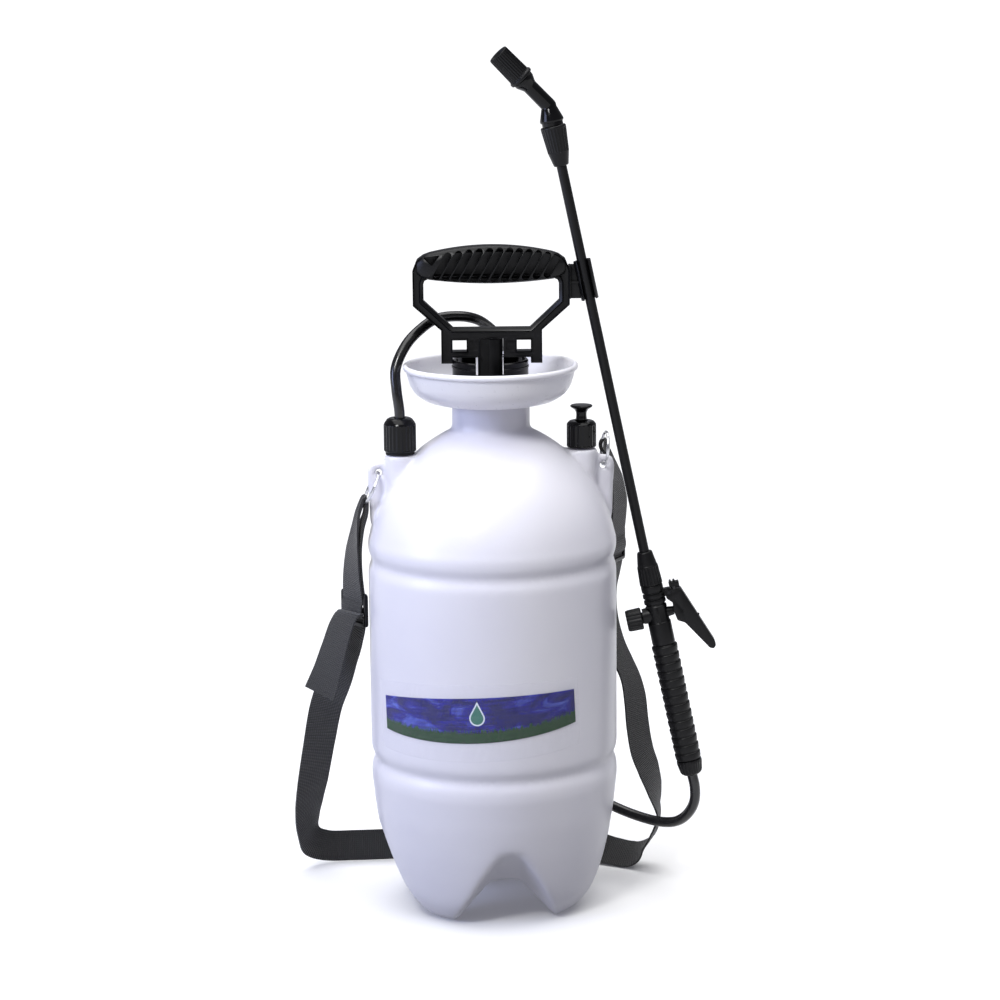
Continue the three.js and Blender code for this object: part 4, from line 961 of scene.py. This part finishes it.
def makeFrame():
    w, leg = handle["half"], handle["half"] - 20.8
    half = [(leg, handle["foot"]), (leg, 443.5), (w, 462), (w, 488), (w - 3, 495.5), (w - 9, 499.5)]
    outline = mirrored(half + [(w - 20, 502), (0, 503)])
    body = slab(outline, handle["depth"])
    hole = mirrored([(28.7, 445), (50.5, 465.5), (50.5, 478), (49.5, 480.6), (46.5, 482), (0, 482)])
    body = carve(body, slab(hole, 60))
    for side in (-1, 1):
        window = [(side * x, z) for x, z in ((18.8, 427.4), (29.3, 427.4), (29.3, 436), (18.8, 436))]
        body = carve(body, slab(window, 60))
    body = carve(body, block(-29.3, 29.3, -40, 40, 410, 423))
    around = []
    for edge in body.edges:  # the hand hole's edges, front and back
        inside = all(abs(v.co.x) < 50.6 and 444.9 < v.co.z < 482.1 for v in edge.verts)
        if inside and abs(edge.verts[0].co.y - edge.verts[1].co.y) < 0.1:
            around.append(edge)
    bevelEdges(body, around, handle["holeBevel"], 1)
    body.normal_update()
    faces = [f for f in body.faces if abs(f.normal.y) > 0.99]
    bmesh.ops.inset_region(
        body, faces=faces, thickness=handle["channel"], depth=0, use_even_offset=True, use_boundary=True
    )
    for side in (-1, 1):
        verts = {v for f in faces for v in f.verts if v.co.y * side > 0}
        bmesh.ops.translate(body, verts=list(verts), vec=(0, -side * handle["channelDepth"], 0))
    body = carve(body, bar(9.65, 400, 436.9, 64))
    for y in (-6, 6):
        for side in (-1, 1):
            x0, x1 = sorted((side * 10.6, side * 17.0))
            body = carve(body, block(x0, x1, y - 3.4, y + 3.4, 428, 435.4))
    return roundEdges(body, 0.45, 2, 40)


def gripSection(x):
    share = (x / 50) ** 2
    top = handle["top"] - 6.4 * share
    under = handle["gripUnder"] + 3.6 * share
    deep = handle["gripDepth"] / 2 * (1 - 0.17 * share)
    return (top + under) / 2, (top - under) / 2, deep


def makeGripBar():
    bm = bmesh.new()
    rings = []
    count = 24
    reach = 55.0
    for i in range(count + 1):
        x = -reach + 2 * reach * i / count
        centre, tall, deep = gripSection(x)
        pinch = 1 - 0.3 * max(0, (abs(x) - 47) / 8) ** 2  # the ends round off into the uprights
        made = bmesh.ops.create_circle(bm, cap_ends=False, radius=1, segments=48)["verts"]
        for vert in made:
            turn = math.atan2(vert.co.y, vert.co.x)
            c, s = math.cos(turn), math.sin(turn)
            squared = (abs(c) ** 3 + abs(s) ** 3) ** (-1 / 3)
            vert.co = (x, c * squared * deep * pinch, centre + s * squared * tall * pinch)
        rings.append([e for e in bm.edges if e.verts[0] in made and e.verts[1] in made])
    for a, b in zip(rings, rings[1:]):
        bmesh.ops.bridge_loops(bm, edges=a + b)
    bmesh.ops.holes_fill(bm, edges=[e for e in bm.edges if e.is_boundary], sides=0)
    return outward(bm)


def slotOutline(x, low, high, width, leanTo):
    # round-ended slot, leaning to the right at its top
    half = width / 2
    out = []
    spine = Vector((math.sin(leanTo), math.cos(leanTo)))
    side = Vector((math.cos(leanTo), -math.sin(leanTo)))
    middleZ = (low + high) / 2
    tall = (high - low) / 2 / math.cos(leanTo) - half * 0.6
    for end in (1, -1):
        for i in range(7):
            turn = math.pi * i / 6
            point = spine * end * (tall + half * math.sin(turn)) + side * end * half * math.cos(turn)
            out.append((x + point.x, middleZ + point.y))
    return out


def makeHandle():
    grip = makeGripBar()
    cutters = []
    leanTo = math.radians(handle["slotLean"])
    for i in range(handle["slots"]):
        x = handle["slotFirst"] + handle["slotPitch"] * i
        centre, tall, _ = gripSection(x)
        for face in (-1, 1):
            outline = slotOutline(x, centre - tall + 2.6, centre + tall - 2.8, handle["slotWidth"], leanTo)
            cutters.append(slab(outline, 20, face * (handle["slotFloor"] + 10)))
    for face in (-1, 1):
        corner = softenLoop([(-50.6, 498.4), (-43.7, 492), (-37.7, 500.2)], 1.4, 3)
        cutters.append(slab(corner, 20, face * (handle["slotFloor"] + 10)))
    grip = carve(grip, together(*cutters))
    grip = roundEdges(grip, 0.5, 2, 48)
    return together(makeFrame(), grip)


handlePlace = uprightPlace @ shifted(handle["shift"] * mm, 0, 0)
addPiece("pumpHandle", makeHandle(), handlePlace, "pump", ["pump_handle"], smooth=38)
print("pump and handle made")

# ---- clip on the handle ----
clip = dict(length=30.0, radius=6.6, bore=4.2)


def makeClip():
    half = clip["length"] / 2
    offset = (clipPoint - tankAxis) / mm
    wall = [(clip["bore"], -half), (clip["radius"], -half), (clip["radius"], half), (clip["bore"], half)]
    sleeve = lathe(wall, 48, closed=True)
    sleeve = carve(sleeve, block(-clip["bore"], clip["bore"], -12, 0, -half - 1, half + 1))
    sleeve = moved(sleeve, Matrix.Translation(offset) @ Matrix.Rotation(-lean, 4, "Y"))
    low = handle["top"] - 41
    web = block(handle["half"] + 0.3, offset.x - 3.5, -1.1, 3.9, low, low + 25.5)
    pad = block(handle["half"] + 0.3, handle["half"] + 2, -5, 5, low, low + 25.5)
    rib = block(handle["half"] + 0.3, offset.x - 4.5, -3.2, 3.9, low + 11.6, low + 13.4)
    parts = ((sleeve, 0.4), (web, 0.5), (pad, 0.5), (rib, 0.3))
    return together(*[roundEdges(part, width, 2) for part, width in parts])


addPiece("lanceClip", makeClip(), uprightPlace, "pump", ["lance_clip"])

# ---- wand, drawn along its own lance, Z up ----
wand = dict(
    up=86.6, nutHigh=-212.2, nutLow=-238.2, bodyLow=-285.5, gripLow=-378.8, capLow=-390.1, valveAt=-261.7,
    pivot=(11.5, 0, -246.2),
)


def makeLance():
    return lathe([(2.6, -225), (3.8, -225), (3.8, 98.6), (2.6, 98.6)], 48, closed=True)


def makeLanceNut():
    low, high = wand["nutLow"], wand["nutHigh"]
    ribs = [(8.0 + 0.7 * i / 12, high - 12.4 - i * 1.05) for i in range(13)]
    profile = [(4.1, low), (8.3, low), (8.75, low + 0.6)] + ribs[::-1]
    profile += [(7.95, high - 11.2), (7.45, high - 10.4), (7.3, high - 9.2), (5.9, high - 0.9), (5.4, high)]
    profile += [(4.1, high)]
    return flute(lathe(soften(profile, 0.4, 2), 192, closed=False), 24, 0.42, low + 1.0, high - 11.8, 0.6, 7)


addPiece("lance", makeLance(), wandPlace, "wand", ["lance"])
addPiece("lanceNut", makeLanceNut(), wandPlace, "wand", ["lance_nut"])


def makeValveBody():
    top, at, low = wand["nutLow"] - 0.3, wand["valveAt"], wand["bodyLow"]
    rings = []
    for i in range(3):
        z = top - 2.4 - i * 4.6
        rings += [(8.4, z), (8.4, z - 2.6), (7.3, z - 3.1), (7.3, z - 4.1)]
    profile = [(0, top), (8.0, top), (8.4, top - 0.6)] + rings
    profile += [
        (8.3, at + 6.4), (8.1, at + 5), (8.1, at - 5.6), (8.8, at - 6.4), (8.8, low + 1), (8.5, low),
        (0, low),
    ]
    barrel = lathe(soften(profile[::-1], 0.35, 2), 72)
    across = shifted(0, 0, at) @ rotated(90, "Y")
    left = moved(bar(5.9, -11.4, -2, 40, 6.6), across)
    right = moved(bar(4.6, 2, 12.6, 40, 3.3), across)
    web = block(3, 11.5, -2.9, 2.9, -249.1, -243.3)
    pivot = moved(bar(2.9, -3, 3, 32), shifted(*wand["pivot"]) @ rotated(90, "X"))
    spine = block(-1.0, 1.0, -8.9, -7.4, at - 5.8, at + 6.0)
    whole = carve(barrel, left, "UNION")
    whole = carve(whole, right, "UNION")
    return together(whole, roundEdges(web, 0.4, 2), pivot, roundEdges(spine, 0.3, 2))


addPiece("valveBody", makeValveBody(), wandPlace, "wand", ["valve_body"])


def makeSideKnob():
    r = 8.5
    wall = [(r - 0.02 * i, 13.2 + i) for i in range(10)]
    profile = [(0, 10.2), (4.4, 10.2), (4.4, 12.2), (r - 0.9, 12.2), (r, 12.9)] + wall
    profile += [(r - 0.7, 24.0), (r - 1.4, 24.3), (5.2, 24.3), (4.8, 23.8), (0, 23.8)]
    knob = flute(lathe(soften(profile, 0.4, 2), 180), 22, 0.5, 12.8, 23.2, 0.6, 7.5)
    return moved(knob, shifted(0, 0, wand["valveAt"] - 1) @ rotated(-90, "Y"))


addPiece("sideKnob", makeSideKnob(), wandPlace, "side_knob", ["side_knob"])


def makeWandGrip():
    # stacked cups: each ring flares towards its top and stops at a narrow gap
    low, high, count = wand["gripLow"], wand["bodyLow"] - 0.3, 14
    pitch = (high - low) / count
    profile = [(6, low), (8.6, low)]
    for i in range(count):
        z = low + i * pitch
        profile += [(9.35, z + 0.5), (9.75, z + 2.2), (10.0, z + pitch - 1.5), (9.7, z + pitch - 0.9)]
        profile += [(8.9, z + pitch - 0.5)]
    profile += [(8.6, high), (6, high)]
    return lathe(soften(profile, 0.3, 2), 72, closed=True)


def makeEndCap():
    low, high = wand["capLow"] - 1, wand["gripLow"] - 0.3
    wall = [(8.5 + 1.3 * i / 7, low + 2.6 + i * 1.05) for i in range(8)]
    profile = [(4.3, high), (4.3, low), (6.2, low), (7.9, low + 1.4)] + wall + [(9.5, high), (4.3, high)]
    return flute(lathe(soften(profile, 0.5, 2), 200), 26, 0.35, low + 2.0, high - 0.5, 0.6, 7.5)


addPiece("wandGrip", makeWandGrip(), wandPlace, "wand", ["wand_grip"], "rubber", paints["black_plastic"], 45)
addPiece("gripEndCap", makeEndCap(), wandPlace, "wand", ["grip_end_cap"])


def makeTrigger():
    # lever with a hollow back: straight outer edge, waist behind, round tip
    outline = [
        (8.9, -243.8), (21.5, -245.6), (38.5, -291.2), (38.3, -294.2), (36.2, -296.2), (33.4, -295),
        (19.0, -271.7), (13.7, -268.7), (12.5, -261.7), (13.1, -254.7), (8.9, -250.2),
    ]
    body = slab(softenLoop(outline, 1.0, 3), 12)
    inner = [
        (0, -240.8), (15.2, -240.8), (15.2, -248.2), (19.3, -248.4), (35.1, -291.2), (34.1, -306),
        (0, -306),
    ]
    body = carve(body, slab(inner, 7.6))
    for side in (-1, 1):
        slotCut = slotOutline(17.0, -262.5, -252.5, 2.4, math.radians(-22))
        body = carve(body, slab(slotCut, 1.6, side * 6))
    body = carve(body, moved(bar(1.9, -10, 10, 24), shifted(*wand["pivot"]) @ rotated(90, "X")))
    bump = moved(bar(1.1, 0, 1.2, 16), shifted(29.8, 0, -268.5) @ rotated(110, "Y"))
    return together(roundEdges(body, 0.45, 2), bump)


addPiece("triggerLever", makeTrigger(), wandPlace, "trigger", ["trigger"])


def makeLock():
    # catch on the trigger's shoulder: a foot, a flat tab and two thumb ridges
    foot = block(17.1, 20.7, -3.4, 3.4, -244.2, -242.3)
    tab = block(12.9, 20.7, -3.4, 3.4, -242.9, -239.6)
    ridges = [roundEdges(block(x, x + 1.7, -3.4, 3.4, -240, -238.2), 0.4, 2) for x in (13.4, 16.2)]
    return together(roundEdges(foot, 0.3, 2), roundEdges(tab, 0.4, 2), *ridges)


addPiece("triggerLock", makeLock(), wandPlace, "lock", ["trigger_lock"])


def makeElbowNut():
    low, high = wand["up"], elbowUp - 1.8
    ribs = [(8.0 + 1.5 * i / 16, low + 10.6 + i * 1.05) for i in range(17)]
    profile = [(4.1, low), (5.0, low), (5.6, low + 0.5), (7.6, low + 9.0), (7.8, low + 10.0)] + ribs
    profile += [(9.6, high - 1.0), (9.1, high), (6.4, high), (6.4, high - 4)]
    return flute(lathe(soften(profile, 0.4, 2), 160), 24, 0.4, low + 10.4, high - 1.6, 0.6, 7)


addPiece("elbowNut", makeElbowNut(), wandPlace, "wand", ["elbow_nut"])


def makeElbow():
    tail = lathe([
        (0, -17), (5, -17), (5, -15.0), (7.9, -14.8), (7.9, -12.4), (8.5, -12.2), (9.0, -11.2), (8.9, -10.4),
        (6.1, -2.2), (5.7, -1.4), (5.7, 0), (0, 0),
    ], 64)
    side = [
        (0, 0), (5.7, 0), (5.6, 20.2), (6.2, 21.6), (8.0, 25.4), (8.2, 28.2), (4.6, 28.2), (4.6, 36),
        (0, 36),
    ]
    arm = lathe(soften(side, 0.7, 3), 48)
    arm = moved(arm, Matrix.Rotation(-elbowBend, 4, "Y"))
    knee = bmesh.new()
    bmesh.ops.create_uvsphere(knee, u_segments=48, v_segments=24, radius=5.7)
    return carve(carve(tail, knee, "UNION"), arm, "UNION")


addPiece("elbowTube", makeElbow(), elbowPlace, "elbow", ["elbow"], material=glossBlack, smooth=40)


def makeNozzleCap():
    low, high = 28.5, 54.0
    wall = [(8.5 - 0.02 * i, low + 3.4 + i) for i in range(21)]
    profile = [(4.9, low), (9.4, low), (9.6, low + 0.4), (9.6, low + 2.0), (8.9, low + 2.6)] + wall
    profile += [
        (8.0, high - 0.5), (7.7, high), (7.0, high), (6.4, high - 4), (4.4, high - 4.2), (3.8, high - 3),
        (0.7, high - 3),
    ]
    return flute(lathe(soften(profile, 0.3, 2), 224), 28, 0.45, low + 2.8, high - 0.4, 0.6, 7.75)


addPiece("nozzleCap", makeNozzleCap(), nozzlePlace, "nozzle", ["nozzle_cap"])
print("wand and nozzle made")


# ---- studio ----
studio = dict(
    world=0.3, ceiling=3.3,
    window=dict(at=(-2.1, -0.9, 0.9), size=1.0, power=26, colour="#c4d0ff"),
    gridded=dict(at=(-0.55, -1.2, 1.6), aim=(0, 0, 0.38), spread=29, power=84),
)


def hangLamp(lamp, at, aim):
    obj = bpy.data.objects.new(lamp.name, lamp)
    obj.location = at
    obj.rotation_euler = (Vector(aim) - Vector(at)).to_track_quat("-Z", "Y").to_euler()
    bpy.context.scene.collection.objects.link(obj)


def makeStudio():
    scene = bpy.context.scene
    floorMesh = bmesh.new()
    bmesh.ops.create_grid(floorMesh, x_segments=1, y_segments=1, size=60)
    floor = newMesh("floor", floorMesh, shifted(0, 0, -0.0004) @ Matrix.Scale(1 / mm, 4))
    material, _, _ = newMaterial("studio floor, matt white", "#f2f2f2", 0.9)
    floor.data.materials.append(material)
    floor.visible_diffuse = False  # the floor throws no light back onto the sprayer
    world = bpy.data.worlds.new("studio")
    world.use_nodes = True
    world.node_tree.nodes["Background"].inputs[0].default_value = hexColour("#f4f5ff")
    world.node_tree.nodes["Background"].inputs[1].default_value = studio["world"]
    scene.world = world
    sun = bpy.data.lights.new("overhead", "SUN")  # a whole white ceiling
    sun.energy, sun.angle = studio["ceiling"], math.radians(75)
    scene.collection.objects.link(bpy.data.objects.new("overhead", sun))
    window = bpy.data.lights.new("window", "AREA")
    window.size, window.energy = studio["window"]["size"], studio["window"]["power"]
    window.color = hexColour(studio["window"]["colour"])[:3]
    hangLamp(window, studio["window"]["at"], (0, 0, 0.3))
    gridded = bpy.data.lights.new("gridded", "SPOT")  # soft box with a grid, for the shoulder and funnel
    gridded.energy, gridded.shadow_soft_size = studio["gridded"]["power"], 0.25
    gridded.spot_size, gridded.spot_blend = math.radians(studio["gridded"]["spread"]), 1.0
    hangLamp(gridded, studio["gridded"]["at"], studio["gridded"]["aim"])
    scene.view_settings.view_transform = "Standard"


makeStudio()
